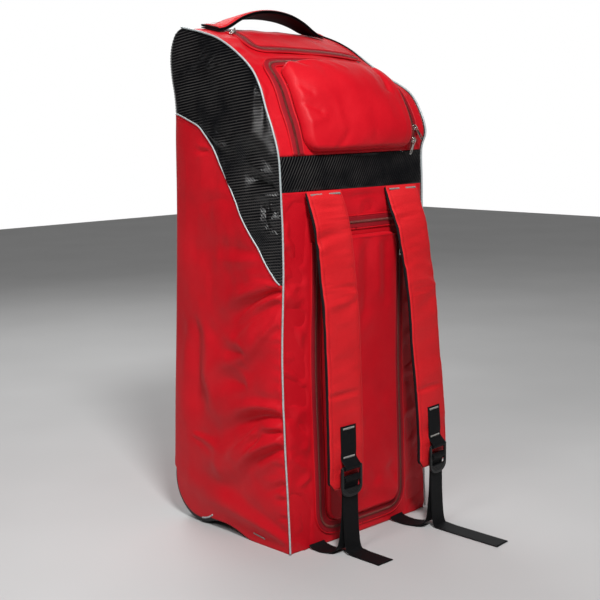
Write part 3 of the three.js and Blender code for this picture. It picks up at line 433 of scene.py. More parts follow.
def stitches(points, ups, pitch=0.0036, length=0.0026, radius=0.00035):
    """A row of stitches on a line of points: small rounded bars, sunk at their ends."""
    points = np.asarray(points, float)
    lengths = np.concatenate([[0], np.cumsum(np.linalg.norm(np.diff(points, axis=0), axis=1))])
    count = max(1, int(lengths[-1] / pitch))
    places = (np.arange(count) + 0.5) * lengths[-1] / count

    def read(values):
        return np.stack([np.interp(places, lengths, values[:, k]) for k in range(3)], axis=1)

    centre = read(points)
    up = read(np.broadcast_to(ups, points.shape))
    up /= np.linalg.norm(up, axis=1, keepdims=True)
    along = read(np.gradient(points, axis=0))
    along -= up * np.sum(along * up, axis=1, keepdims=True)
    along /= np.maximum(np.linalg.norm(along, axis=1, keepdims=True), 1e-9)
    aside = np.cross(up, along)
    rings = []
    for place, rise in STITCH_SHAPE:
        base = centre + along * place * length
        middle = base + up * radius * (rise * 0.9 - 0.4)
        for turn in (0.0, math.pi / 2, math.pi, 3 * math.pi / 2):
            wide = radius * (0.55 + 0.45 * rise)
            rings.append(middle + aside * math.cos(turn) * wide + up * math.sin(turn) * wide)
    grid = np.stack(rings, axis=1)
    faces = []
    for k in range(3):
        for side in range(4):
            on = (side + 1) % 4
            faces.append((k * 4 + side, k * 4 + on, k * 4 + 4 + on, k * 4 + 4 + side))
    faces += [(3, 2, 1, 0), (12, 13, 14, 15)]
    all_faces = np.array(faces)[None] + (np.arange(count) * 16)[:, None, None]
    return grid.reshape(-1, 3), all_faces.reshape(-1, 4)


# Materials


class Nodes:
    """A material's node tree, with short calls for what the finishes share."""

    def __init__(self, name, roughness=0.6, specular=0.4, metallic=0.0):
        self.material = bpy.data.materials.new(name)
        self.material.use_nodes = True
        self.tree = self.material.node_tree
        self.shader = self.tree.nodes["Principled BSDF"]
        self.shader.inputs["Roughness"].default_value = roughness
        self.shader.inputs["Specular IOR Level"].default_value = specular
        self.shader.inputs["Metallic"].default_value = metallic
        self.place = self.add("ShaderNodeTexCoord").outputs["Object"]
        self.bumps = None

    def add(self, kind, **values):
        node = self.tree.nodes.new(kind)
        for key, value in values.items():
            setattr(node, key, value)
        return node

    def link(self, start, end):
        self.tree.links.new(start, end)

    def scaled(self, scale, turn=(0, 0, 0)):
        mapping = self.add("ShaderNodeMapping")
        mapping.inputs["Scale"].default_value = scale
        mapping.inputs["Rotation"].default_value = turn
        self.link(self.place, mapping.inputs["Vector"])
        return mapping.outputs["Vector"]

    def noise(self, scale, detail=2.0, rough=0.5, place=None):
        node = self.add("ShaderNodeTexNoise")
        node.inputs["Scale"].default_value = scale
        node.inputs["Detail"].default_value = detail
        node.inputs["Roughness"].default_value = rough
        self.link(place or self.place, node.inputs["Vector"])
        return node.outputs["Fac"]

    def bands(self, scale, axis, distortion=0.0, place=None, profile="SIN"):
        node = self.add("ShaderNodeTexWave", wave_type="BANDS", bands_direction=axis, wave_profile=profile)
        node.inputs["Scale"].default_value = scale
        node.inputs["Distortion"].default_value = distortion
        node.inputs["Detail"].default_value = 1.0
        self.link(place or self.place, node.inputs["Vector"])
        return node.outputs["Fac"]

    def ramp(self, fac, stops):
        node = self.add("ShaderNodeValToRGB")
        ramp = node.color_ramp
        while len(ramp.elements) < len(stops):
            ramp.elements.new(0.5)
        for element, (place, colour) in zip(ramp.elements, stops):
            element.position = place
            element.color = (*colour, 1.0)
        self.link(fac, node.inputs["Fac"])
        return node.outputs["Color"]

    def math(self, kind, a, b):
        node = self.add("ShaderNodeMath", operation=kind)
        for socket, value in zip(node.inputs, (a, b)):
            if isinstance(value, (int, float)):
                socket.default_value = value
            else:
                self.link(value, socket)
        return node.outputs[0]

    def colour(self, output):
        self.link(output, self.shader.inputs["Base Color"])

    def rough(self, fac, low, high):
        node = self.add("ShaderNodeMapRange")
        node.inputs["To Min"].default_value = low
        node.inputs["To Max"].default_value = high
        self.link(fac, node.inputs["Value"])
        self.link(node.outputs["Result"], self.shader.inputs["Roughness"])

    def bump(self, height, strength, distance):
        node = self.add("ShaderNodeBump")
        node.inputs["Strength"].default_value = strength
        node.inputs["Distance"].default_value = distance
        self.link(height, node.inputs["Height"])
        if self.bumps is not None:
            self.link(self.bumps, node.inputs["Normal"])
        self.bumps = node.outputs["Normal"]
        self.link(self.bumps, self.shader.inputs["Normal"])


def woven_cloth(name, dark, mid, light, roughness=0.50, weave=900.0, sheen=0.06, grain=0.5):
    """Coated polyester: a fine plain weave, a speckle of thread tones and soft large patches."""
    n = Nodes(name, roughness, 0.20)
    n.shader.inputs["Sheen Weight"].default_value = sheen
    n.shader.inputs["Sheen Roughness"].default_value = 0.4
    n.shader.inputs["Sheen Tint"].default_value = (1.0, 0.55, 0.5, 1.0)
    speckle = n.noise(weave, 3.0, 0.7)
    patches = n.noise(9.0, 3.0, 0.55)
    mix = n.math("ADD", n.math("MULTIPLY", speckle, 0.6), n.math("MULTIPLY", patches, 0.4))
    n.colour(n.ramp(mix, [(0.30, dark), (0.50, mid), (0.72, light)]))
    n.rough(patches, roughness - 0.06, roughness + 0.08)
    warp = n.bands(weave * 0.55, "X")
    weft = n.bands(weave * 0.55, "Z")
    depth = n.bands(weave * 0.55, "Y")
    threads = n.math("MULTIPLY", n.math("ADD", warp, depth), weft)
    n.bump(threads, 0.10 * grain, 0.0004)
    n.bump(speckle, 0.16 * grain, 0.0006)
    n.bump(n.noise(130.0, 3.0, 0.6), 0.10 * grain, 0.0012)
    return n.material


def make_materials():
    m = {}
    m["red"] = woven_cloth("red_polyester", (0.46, 0.001, 0.008), (0.60, 0.004, 0.013), (0.74, 0.014, 0.024))
    m["strap"] = woven_cloth("strap_polyester", (0.54, 0.006, 0.010), (0.68, 0.012, 0.018), (0.80, 0.026, 0.032),
                             roughness=0.6, weave=700.0, grain=0.8)
    m["strap_back"] = woven_cloth("strap_back_mesh", (0.006, 0.006, 0.007), (0.012, 0.012, 0.013),
                                  (0.022, 0.022, 0.024), roughness=0.8, sheen=0.03)
    m["base"] = woven_cloth("base_cloth", (0.006, 0.006, 0.007), (0.011, 0.011, 0.012), (0.02, 0.02, 0.021),
                            roughness=0.6, sheen=0.03)
    m["tape"] = woven_cloth("zip_tape", (0.22, 0.003, 0.010), (0.30, 0.006, 0.014), (0.38, 0.012, 0.020),
                            roughness=0.7, weave=1500.0, sheen=0.04)

    n = Nodes("zip_coil", 0.42, 0.4)
    n.colour(n.ramp(n.noise(300.0), [(0.3, (0.13, 0.018, 0.014)), (0.7, (0.24, 0.040, 0.028))]))
    m["coil"] = n.material

    for name, turn in (("ribbed_vinyl", (RIB_TILT, 0, 0)), ("ribbed_band", (0, BAND_TILT, 0))):
        n = Nodes(name, 0.2, 0.5)
        place = n.scaled((1, 1, 1), turn)
        ribs = n.bands(2 * math.pi / WAVE_UNIT / RIB_PITCH, "Z", 0.0, place)
        worn = n.math("MULTIPLY", ribs, n.math("ADD", n.noise(14.0, 2.0), 0.42))
        n.colour(n.ramp(worn, [(0.30, (0.0012, 0.0014, 0.0020)), (0.74, (0.004, 0.004, 0.006)),
                               (0.90, (0.050, 0.046, 0.044))]))
        n.rough(n.noise(60.0, 3.0), 0.14, 0.32)
        n.bump(n.noise(420.0, 2.0), 0.25, 0.0005)
        n.bump(n.noise(45.0, 4.0, 0.6), 0.30, 0.0030)
        m[name] = n.material

    n = Nodes("reflective_piping", 0.32, 0.6)
    n.colour(n.ramp(n.noise(220.0), [(0.3, (0.36, 0.40, 0.41)), (0.7, (0.52, 0.56, 0.57))]))
    n.bump(n.noise(600.0), 0.15, 0.0004)
    m["piping"] = n.material

    n = Nodes("black_webbing", 0.62, 0.14)
    rib = n.bands(260.0, "Z")
    n.colour(n.ramp(n.noise(500.0, 2.0), [(0.3, (0.002, 0.002, 0.0025)), (0.7, (0.008, 0.008, 0.009))]))
    n.bump(rib, 0.25, 0.0004)
    n.bump(n.noise(900.0, 2.0), 0.3, 0.0005)
    m["webbing"] = n.material

    n = Nodes("black_plastic", 0.34, 0.35)
    n.colour(n.ramp(n.noise(40.0), [(0.3, (0.004, 0.004, 0.0045)), (0.7, (0.008, 0.008, 0.009))]))
    n.bump(n.noise(1400.0, 2.0), 0.12, 0.0003)
    m["plastic"] = n.material

    n = Nodes("wheel_rubber", 0.75, 0.3)
    n.colour(n.ramp(n.noise(90.0, 3.0), [(0.3, (0.012, 0.012, 0.012)), (0.7, (0.030, 0.029, 0.028))]))
    n.bump(n.noise(700.0, 3.0), 0.25, 0.0005)
    m["rubber"] = n.material

    n = Nodes("nickel", 0.22, 0.5, 1.0)
    n.colour(n.ramp(n.noise(120.0), [(0.3, (0.60, 0.58, 0.54)), (0.7, (0.80, 0.78, 0.74))]))
    n.bump(n.noise(900.0), 0.06, 0.0002)
    m["nickel"] = n.material

    n = Nodes("thread_red", 0.55, 0.3)
    n.colour(n.ramp(n.noise(700.0), [(0.3, (0.36, 0.004, 0.012)), (0.7, (0.60, 0.012, 0.024))]))
    m["thread"] = n.material

    n = Nodes("thread_grey", 0.5, 0.3)
    n.colour(n.ramp(n.noise(900.0), [(0.3, (0.26, 0.25, 0.24)), (0.7, (0.46, 0.44, 0.42))]))
    m["thread_grey"] = n.material
    return m


mats = make_materials()


# Relief of the cloth


def segment_folds(y, z, rows):
    """Soft folds along straight runs: the rows hold ends, width and rise in metres."""
    total = np.zeros_like(y)
    for from_y, from_z, to_y, to_z, width, rise in rows:
        run = np.array([to_y - from_y, to_z - from_z])
        share = np.clip(((y - from_y) * run[0] + (z - from_z) * run[1]) / (run @ run), 0, 1)
        off = np.hypot(y - from_y - run[0] * share, z - from_z - run[1] * share) / width
        total += rise * np.exp(-off ** 2)
    return total


main_side_folds = [
    (a * BODY_DEPTH, b * BODY_HEIGHT, c * BODY_DEPTH, d * BODY_HEIGHT, w * BODY_DEPTH, r * BODY_DEPTH)
    for a, b, c, d, w, r in side_fold_rows]

back_table = back_line.at(np.linspace(0, 1, 300))[::-1]
seam_tables = {-1: front_left.at(np.linspace(0, 1, 300)), 1: front_right.at(np.linspace(0, 1, 300))}


def rising(table):
    """A line's y for each z, in rising order of z."""
    z = np.maximum.accumulate(table[:, 2]) + np.arange(len(table)) * 1e-9
    return z, table[:, 1]


def side_rise(hand, y, z):
    """Soft bulge of the side at a place in the side view, with its main folds."""
    front = np.interp(z, *rising(seam_tables[hand]))
    back = np.interp(z, *rising(back_table))
    across = np.clip((y - front) / np.maximum(back - front, 0.001), 0, 1)
    up = np.clip(z / BODY_HEIGHT, 0, 1)
    edge = np.minimum(1, 6 * across * (1 - across)) * np.minimum(1, 9 * up) * np.minimum(1, 9 * (1 - up))
    round_off = np.sqrt(np.maximum(0, 4 * across * (1 - across)))
    rise = SIDE_BULGE * round_off * np.minimum(1, 6 * up) * np.minimum(1, 5 * (1 - up))
    near = smooth(across, 0.0, 0.03) * (1 - smooth(across, 0.95, 1.0)) * np.minimum(1, 25 * up)
    return rise + segment_folds(y, z, main_side_folds) * edge, edge, near


def pinches(y, z, rows):
    """Creases that run out from a seam: sharp between raised shoulders, wider and softer as they fade."""
    total = np.zeros_like(y)
    for from_y, from_z, to_y, to_z, width, rise, bow in rows:
        run = np.array([to_y - from_y, to_z - from_z])
        length = np.hypot(*run)
        unit = run / length
        share = ((y - from_y) * unit[0] + (z - from_z) * unit[1]) / length
        arch = bow * length * 4 * np.clip(share, 0, 1) * (1 - np.clip(share, 0, 1))
        off = np.abs((z - from_z) * unit[0] - (y - from_y) * unit[1] - arch)
        wide = width * (0.6 + np.clip(share, 0, 1))
        fade = smooth(share, -0.10, 0.10) * (1 - smooth(share, 0.45, 1.05))
        total += rise * fade * (np.exp(-(off / wide) ** 1.5) - 0.45 * np.exp(-((off / wide - 2.1) / 1.1) ** 2))
    return total


# Creases of the side cloth, finer than its folds. Columns: from (y, z), to (y, z), width, rise, in metres, and bow.
side_creases = [
    (-0.150, 0.468, -0.022, 0.386, 0.0085, -0.0066, 0.10),
    (-0.126, 0.474, 0.010, 0.412, 0.0090, 0.0036, 0.08),
    (-0.126, 0.473, -0.056, 0.455, 0.0055, -0.0036, 0.05),
    (-0.096, 0.519, 0.035, 0.512, 0.0100, 0.0026, -0.03),
    (-0.148, 0.449, -0.020, 0.358, 0.0080, -0.0044, 0.06),
    (-0.152, 0.462, -0.008, 0.372, 0.0060, 0.0026, 0.07),
    (-0.154, 0.434, -0.022, 0.312, 0.0090, 0.0044, -0.04),
    (-0.153, 0.413, -0.082, 0.342, 0.0050, -0.0028, 0.02),
    (-0.060, 0.352, 0.022, 0.345, 0.0100, -0.0038, 0.00),
    (0.075, 0.390, 0.078, 0.190, 0.0170, -0.0044, 0.00),
    (-0.060, 0.290, 0.020, 0.298, 0.0120, -0.0026, 0.00),
    (-0.154, 0.244, 0.014, 0.176, 0.0100, -0.0060, 0.12),
    (-0.152, 0.264, 0.012, 0.204, 0.0090, 0.0032, 0.10),
    (-0.156, 0.222, -0.080, 0.209, 0.0050, -0.0038, 0.00),
    (-0.156, 0.213, -0.016, 0.132, 0.0080, 0.0044, 0.03),
    (-0.157, 0.196, -0.020, 0.114, 0.0080, -0.0056, 0.04),
    (-0.094, 0.206, -0.004, 0.128, 0.0070, -0.0038, -0.04),
    (-0.082, 0.214, 0.000, 0.148, 0.0060, 0.0032, -0.02),
    (-0.157, 0.135, -0.090, 0.098, 0.0070, -0.0038, -0.05),
    (-0.157, 0.103, -0.118, 0.089, 0.0050, -0.0028, 0.00),
    (-0.157, 0.070, -0.126, 0.056, 0.0045, -0.0026, 0.00),
    (-0.157, 0.162, -0.128, 0.148, 0.0040, -0.0024, 0.00),
    (-0.154, 0.385, -0.118, 0.366, 0.0040, -0.0020, 0.00),
    (-0.154, 0.335, -0.124, 0.322, 0.0050, -0.0022, 0.00),
    (-0.155, 0.300, -0.130, 0.290, 0.0050, 0.0020, 0.00),
    (0.092, 0.174, 0.010, 0.154, 0.0060, 0.0024, -0.05),
    (-0.155, 0.018, 0.095, 0.052, 0.0130, 0.0050, 0.05),
    (0.026, 0.703, 0.064, 0.700, 0.0040, -0.0030, 0.00),
    (-0.020, 0.620, 0.100, 0.585, 0.0120, -0.0016, 0.05),
]


# The same columns for the crumples of the vinyl.
vinyl_creases = [
    (0.021, 0.734, -0.040, 0.703, 0.0060, 0.0042, 0.00),
    (-0.103, 0.809, -0.115, 0.719, 0.0080, -0.0055, 0.00),
    (-0.123, 0.815, -0.134, 0.752, 0.0050, 0.0030, 0.00),
    (0.063, 0.859, 0.023, 0.884, 0.0040, 0.0026, 0.00),
    (0.036, 0.847, -0.017, 0.872, 0.0050, 0.0030, 0.00),
    (0.005, 0.848, -0.041, 0.864, 0.0040, 0.0026, 0.00),
    (0.087, 0.832, 0.055, 0.858, 0.0050, -0.0024, 0.00),
    (-0.133, 0.646, -0.065, 0.659, 0.0090, -0.0055, 0.00),
    (-0.143, 0.628, -0.072, 0.634, 0.0080, 0.0042, 0.00),
    (-0.149, 0.600, -0.097, 0.609, 0.0070, -0.0044, 0.00),
    (-0.132, 0.617, -0.136, 0.572, 0.0050, 0.0034, 0.00),
    (-0.129, 0.668, -0.053, 0.691, 0.0100, 0.0044, 0.00),
    (-0.112, 0.611, -0.126, 0.568, 0.0040, -0.0028, 0.00),
    (-0.146, 0.562, -0.111, 0.567, 0.0050, 0.0024, 0.00),
]


def side_detail(hand, y, z, edge, near):
    seed = 11 if hand < 0 else 53
    share = 1.15 if hand < 0 else 0.7
    fine = pinches(y, z + (0.0 if hand < 0 else 0.024), side_creases) * near * share
    soft = noise(y * 14, z * 9, seed, 3) * 0.0024
    from_seam = y - np.interp(z, *rising(seam_tables[hand]))
    at_seam = np.exp(-np.maximum(0, from_seam) / 0.014)
    puckers = noise(y * 18, z * 72 + y * 30, seed + 5, 2) * at_seam * 0.0020 * share
    rumples = creases(y * 20 + z * 9, z * 24, seed + 9) * np.exp(-((y + 0.10) / 0.06) ** 2) * 0.0009
    return fine + puckers * near + (soft + rumples) * edge


# The chest band and the top fold over soft kit: dents of the front cloth, in x and height along it.
front_folds = [
    (-0.150, 0.600, -0.138, 0.420, 0.012, -0.0022),
    (-0.176, 0.560, -0.140, 0.500, 0.010, 0.0022),
    (-0.176, 0.470, -0.138, 0.430, 0.009, 0.0020),
    (-0.176, 0.400, -0.136, 0.350, 0.009, -0.0022),
    (-0.176, 0.330, -0.136, 0.300, 0.009, 0.0022),
    (-0.176, 0.250, -0.132, 0.215, 0.009, -0.0022),
    (-0.176, 0.175, -0.128, 0.140, 0.009, 0.0022),
    (-0.170, 0.100, -0.120, 0.060, 0.010, -0.0022),
    (0.000, 0.628, 0.020, 0.600, 0.020, -0.0014),
    (-0.160, 0.850, -0.150, 0.780, 0.010, -0.0022),
    (-0.165, 0.930, -0.120, 1.000, 0.012, 0.0018),
    (0.150, 0.930, 0.165, 0.850, 0.010, -0.0018),
    (-0.060, 1.000, 0.060, 0.995, 0.014, 0.0016),
    (0.040, 1.030, 0.120, 1.045, 0.012, -0.0016),
]


def front_relief(x, height):
    """Small folds of the bare front cloth. It lies flat under the pockets, the zips and the straps' seams."""
    side_strip = smooth(np.abs(x), UPPER_HALF + 0.004, UPPER_HALF + 0.018)
    low_strip = smooth(np.abs(x), LOWER_HALF + 0.028, LOWER_HALF + 0.040)
    under_band = smooth(height, SLOT_HEIGHT + 0.012, SLOT_HEIGHT + 0.020) * (1 - smooth(height, 0.618, 0.628))
    top = smooth(height, UPPER_TOP + 0.022, UPPER_TOP + 0.034)
    bare = np.where(height < LOWER_TOP, low_strip, np.maximum(under_band * 0.6, low_strip))
    bare = np.where(height > BAND_TOP, np.maximum(side_strip, top * 0.7), bare)
    edge = smooth(BODY_WIDTH / 2 - np.abs(x), 0.0, 0.010)
    ends = smooth(np.abs(height - BAND_BOTTOM), 0, 0.012) * smooth(np.abs(height - BAND_TOP), 0, 0.012)
    low = 1 - smooth(height, BAND_BOTTOM - 0.04, BAND_BOTTOM)
    fine = creases(x * 20 + height * 13, height * 26 - x * 9, 71) * (0.0010 + 0.0016 * low)
    fine = fine + noise(x * 18, height * 22, 73, 3) * (0.0016 + 0.0014 * low)
    return (segment_folds(x, height, front_folds) * 1.7 + fine - 0.0014) * bare * edge * ends


# Body panels


def part_of(line, from_z, to_z, count):
    points = line.at(np.linspace(0, 1, 401))
    points = points[(points[:, 2] >= min(from_z, to_z)) & (points[:, 2] <= max(from_z, to_z))]
    return even_points(points, count)


def patch(bottom, top, left, right, rows, columns):
    """Points of a sheet between four border lines that meet at their ends."""
    u = np.linspace(0, 1, columns + 1)
    v = np.linspace(0, 1, rows + 1)

    def pick(points, shares):
        places = shares * (len(points) - 1)
        return np.stack([np.interp(places, np.arange(len(points)), points[:, k]) for k in range(3)], axis=1)

    low, high, first, last = pick(bottom, u), pick(top, u), pick(left, v), pick(right, v)
    a, b = u[None, :, None], v[:, None, None]
    grid = low[None] * (1 - b) + high[None] * b + first[:, None] * (1 - a) + last[:, None] * a
    grid -= low[0] * (1 - a) * (1 - b) + low[-1] * a * (1 - b) + high[0] * (1 - a) * b + high[-1] * a * b
    return grid


def side_foot():
    rim = HOUSING_RADIUS - HOUSING_EDGE
    rim_start, rim_end = -math.pi * 0.637, math.pi * 0.08
    base = base_line.at(np.linspace(0, 1, 81))[::-1]
    base = base[base[:, 1] < HOUSING_Y + rim * math.cos(rim_start) - HOUSING_EDGE * 2]
    base[:, 2] = np.maximum(base[:, 2], 0)
    turn = np.linspace(rim_start, rim_end, 17)
    arc = np.stack([turn * 0, HOUSING_Y + rim * np.cos(turn), HOUSING_Z + rim * np.sin(turn)], axis=1)
    return np.concatenate([base, arc])


def front_border(hand, from_z, to_z, count):
    return part_of(front_left if hand < 0 else front_right, from_z, to_z, count)


def back_at(z):
    return np.array([0, np.interp(z, *rising(back_table)), z])


def carbon_seam(hand, offset):
    start = front_border(hand, CARBON_TIP, BODY_HEIGHT, 2)[0]
    rows = [(0, y * BODY_DEPTH, z * BODY_HEIGHT) for y, z in carbon_seam_rows]
    line = Line([start, *rows, back_at(CARBON_REAR)])
    points = line.at(line.even(60))
    points[:, 2] += offset
    return points


def side_grid(hand, flat, ribs=0.0):
    y, z = flat[..., 1], flat[..., 2]
    rise, edge, near = side_rise(hand, y, z)
    grid = flat.copy()
    grid[..., 0] = BODY_WIDTH / 2 + rise + side_detail(hand, y, z, edge, near)
    if ribs:
        wave = -np.cos(2 * math.pi * (z * math.cos(RIB_TILT) + (y + SHIFT_Y) * math.sin(RIB_TILT)) / RIB_PITCH)
        crumple = creases(y * 22, z * 16, 91) * 0.0018 * edge + noise(y * 40, z * 30, 95, 2) * 0.0009 * edge
        grid[..., 0] += ribs * wave + crumple + pinches(y, z, vinyl_creases) * near * (1.0 if hand < 0 else 0.6)
    grid[..., 0] *= hand
    return grid


def make_sides():
    for hand, label in ((-1, "left"), (1, "right")):
        foot = side_foot()
        rear_low = back_at(foot[-1][2] + 0.006)
        foot = np.concatenate([foot, [rear_low]])
        seam_low = carbon_seam(hand, -GAP / 2)
        front = front_border(hand, foot[0][2] + 0.005, seam_low[0][2] - 0.001, 80)
        front = even_points([foot[0], *front, seam_low[0]], 80)
        rear = part_of(back_line, rear_low[2] + 0.001, seam_low[-1][2] - 0.001, 80)[::-1]
        rear = even_points([rear_low, *rear, seam_low[-1]], 80)
        rows, columns = (200, 100) if hand < 0 else (130, 65)
        flat = patch(even_points(foot, 80), seam_low, front, rear, rows, columns)
        grid = side_grid(hand, flat)
        inward = np.zeros_like(grid)
        inward[..., 0] = -hand * CLOTH
        points, faces = shell(grid, inward)
        if hand > 0:
            faces = faces[:, ::-1]
        piece = mesh_piece(f"side_cloth_{label}", world(points), faces[:, ::-1], materials=[mats["red"]])
        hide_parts(f"side_panel_{label}")

        seam_high = carbon_seam(hand, GAP / 2)
        seam = front_border(hand, seam_high[0][2] + 0.001, BODY_HEIGHT * 2, 160)
        corner = int(np.argmax(seam[:, 2] > TOP_CORNER))
        upper_front = even_points([seam_high[0], *seam[:corner + 1]], 60)
        upper_rear = part_of(back_line, seam_high[-1][2] + 0.001, BODY_HEIGHT * 2, 80)[::-1]
        upper_rear = even_points([seam_high[-1], *upper_rear, seam[-1]], 60)
        flat = patch(seam_high, even_points(seam[corner:], 60), upper_front, upper_rear, 300, 60)
        grid = side_grid(hand, flat, RIB_HEIGHT)
        inward = np.zeros_like(grid)
        inward[..., 0] = -hand * CLOTH
        points, faces = shell(grid, inward)
        if hand > 0:
            faces = faces[:, ::-1]
        piece = mesh_piece(f"side_vinyl_{label}", world(points), faces[:, ::-1],
                           materials=[mats["ribbed_vinyl"]])
        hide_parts(f"carbon_panel_{label}")
        make_piping(hand, label)


def side_x(hand, points):
    rise, edge, near = side_rise(hand, points[:, 1], points[:, 2])
    return BODY_WIDTH / 2 + rise + side_detail(hand, points[:, 1], points[:, 2], edge, near)


def make_piping(hand, label):
    line = front_left if hand < 0 else front_right
    share = seam_share(np.linspace(0, FRONT_LENGTH, 260))
    lift = (PIPE_RADIUS + PIPE_GAP) / math.sqrt(2)
    points, along = line.at(share), line.tangent(share)
    rim = points.copy()
    outward = lift * (0.62 if hand < 0 else 1.15)
    forward = lift * (0.62 if hand < 0 else -0.10)
    rim[:, 0] = hand * (BODY_WIDTH / 2 + outward)
    rim[:, 1] -= along[:, 2] * forward
    rim[:, 2] += along[:, 1] * forward
    rim[0, 2] += PIPE_RADIUS
    wobble = noise(np.linspace(0, 40, 260), np.full(260, 0.5), 17 + hand) * 0.0004
    rim[:, 0] += wobble
    cord, faces = tube_mesh(rim, PIPE_RADIUS * 0.70, 12)
    piece = mesh_piece(f"front_cord_{label}", world(cord), faces,
                       materials=[mats["piping"]])
    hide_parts(f"front_piping_{label}")

    seam = even_points(carbon_seam(hand, 0), 160)[2:-2]
    seam[:, 0] = hand * (side_x(hand, seam) + SEAM_PIPE_RADIUS * 0.45)
    cord, faces = tube_mesh(seam, SEAM_PIPE_RADIUS * 0.72, 12)
    piece = mesh_piece(f"seam_cord_{label}", world(cord), faces,
                       materials=[mats["piping"]])
    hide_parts(f"carbon_piping_{label}")

    rows = []
    for offset in (-0.0075,):
        line_points = even_points(carbon_seam(hand, offset), 200)[4:-4]
        line_points[:, 0] = hand * (side_x(hand, line_points) + 0.0003)
        rows.append(stitches(line_points, np.array([hand, 0, 0])))
    points, faces = joined(rows)
    mesh_piece(f"seam_stitches_{label}", world(points), faces, materials=[mats["thread"]])


def front_grid(from_height, to_height, rows, columns, relief=True):
    x = np.linspace(-INNER_HALF, INNER_HALF, columns + 1)[None, :]
    height = np.linspace(from_height, to_height, rows + 1)[:, None]
    x, height = np.broadcast_arrays(x, height)
    lift = front_relief(x, height) if relief else 0.0
    return x, height, front_point(x, height, lift)


def cloth_strip(name, node, from_height, to_height, rows, columns, material, extra=None):
    x, height, grid = front_grid(from_height, to_height, rows, columns, extra is None)
    if extra is not None:
        grid = front_point(x, height, extra(x, height))
    inner = front_point(x, height, -CLOTH)
    points, faces = shell(grid, inner - grid)
    piece = mesh_piece(name, world(points), faces, materials=[material])
    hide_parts(node)
    return piece


def band_relief(x, height):
    z = front_point(x, height)[..., 2]
    ribs = -np.cos(2 * math.pi * (z * math.cos(BAND_TILT) - x * math.sin(BAND_TILT)) / RIB_PITCH) * RIB_HEIGHT * 0.7
    crumpled = 1 - smooth(x, -0.02, 0.06)
    soft = noise(x * 25, height * 14, 33, 2) * 0.0009 + creases(x * 34, height * 12, 37) * 0.0012 * crumpled
    edge = smooth(np.minimum(height - BAND_BOTTOM, BAND_TOP - height), 0, 0.006)
    return 0.0004 + (ribs + soft) * edge


def make_front():
    half = GAP / 2
    cloth_strip("front_cloth", "front_panel", half, BAND_BOTTOM - half, 190, 110, mats["red"])
    cloth_strip("band_vinyl", "chest_band", BAND_BOTTOM + half, BAND_TOP - half, 36, 260, mats["ribbed_band"],
                band_relief)
    cloth_strip("top_cloth", "top_panel", BAND_TOP + half, FRONT_LENGTH - half, 110, 90, mats["red"])


# Pockets, zips, and what closes them


def pocket_shape(half_width, bottom, top, rise):
    """A pocket's face as a function of its place, with the corners rounded off."""

    def at(u, v):
        height = bottom + (top - bottom) * v
        from_end = np.minimum(height - bottom, top - height)
        cut = np.maximum(0, POCKET_CORNER - from_end)
        round_off = POCKET_CORNER - np.sqrt(np.maximum(0, POCKET_CORNER ** 2 - cut ** 2))
        x = (u * 2 - 1) * (half_width - round_off)
        wall = rise * 0.62
        across = np.minimum(1, (1 - np.abs(u * 2 - 1)) * half_width / wall)
        along = np.minimum(1, from_end / wall)
        dome = (np.sin(math.pi * u) * np.sin(math.pi * v)) ** 0.6
        shoulder = (1 - (1 - across) ** 2.4) * (1 - (1 - along) ** 2.4)
        puff = rise * (0.74 * shoulder ** 0.6 + 0.26 * dome)
        return x, height, puff

    return at


def edge_spaced(count):
    """Shares from 0 to 1, closer together near both ends."""
    t = np.linspace(0, 1, count + 1)
    return t - np.sin(2 * math.pi * t) / (2 * math.pi) * 0.72


def pocket_piece(name, node, shape, rows, columns, relief):
    u, v = np.meshgrid(edge_spaced(columns), edge_spaced(rows))
    x, height, puff = shape(u, v)
    lift = CLOTH + GAP + POCKET_SEAT + puff + relief(x, height, u, v)
    grid = front_point(x, height, lift)
    inner = front_point(x, height, lift - CLOTH)
    points, faces = shell(grid, inner - grid)
    piece = mesh_piece(name, world(points), faces, materials=[mats["red"]])
    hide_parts(node)


# Columns: from (x, height), to (x, height), width and rise, in metres.
upper_pocket_folds = [
    (0.002, 0.893, 0.012, 0.868, 0.0070, -0.0034),
    (0.109, 0.890, 0.090, 0.800, 0.0070, -0.0042),
    (0.078, 0.880, 0.078, 0.800, 0.0130, -0.0022),
    (-0.114, 0.868, -0.080, 0.842, 0.0060, -0.0028),
    (-0.104, 0.885, -0.030, 0.835, 0.0090, 0.0016),
    (-0.118, 0.806, -0.098, 0.792, 0.0060, -0.0024),
    (-0.118, 0.776, -0.092, 0.758, 0.0060, -0.0022),
    (-0.114, 0.742, -0.086, 0.748, 0.0060, 0.0014),
    (-0.040, 0.862, 0.004, 0.830, 0.0050, 0.0012),
    (-0.066, 0.708, -0.040, 0.728, 0.0060, -0.0016),
    (0.040, 0.708, 0.020, 0.724, 0.0060, -0.0014),
]
lower_pocket_folds = [
    (-0.050, 0.545, -0.056, 0.430, 0.013, -0.0028),
    (-0.020, 0.548, -0.024, 0.400, 0.012, 0.0026),
    (0.008, 0.548, 0.004, 0.420, 0.012, -0.0028),
    (0.034, 0.545, 0.036, 0.450, 0.011, 0.0022),
    (0.060, 0.545, 0.058, 0.430, 0.012, -0.0022),
    (-0.080, 0.340, 0.010, 0.390, 0.018, 0.0022),
    (-0.060, 0.300, 0.050, 0.250, 0.020, -0.0020),
    (-0.086, 0.190, -0.010, 0.080, 0.010, 0.0028),
    (-0.070, 0.230, 0.030, 0.100, 0.012, -0.0030),
    (-0.030, 0.230, 0.060, 0.120, 0.010, 0.0028),
    (0.000, 0.200, 0.080, 0.090, 0.010, -0.0024),
    (-0.088, 0.120, -0.050, 0.060, 0.010, -0.0024),
    (0.030, 0.080, 0.085, 0.060, 0.010, 0.0018),
]


def inside(u, v, width):
    """0 at a pocket's border and 1 within it."""
    return smooth(np.minimum(u, 1 - u), 0, width) * smooth(np.minimum(v, 1 - v), 0, width)


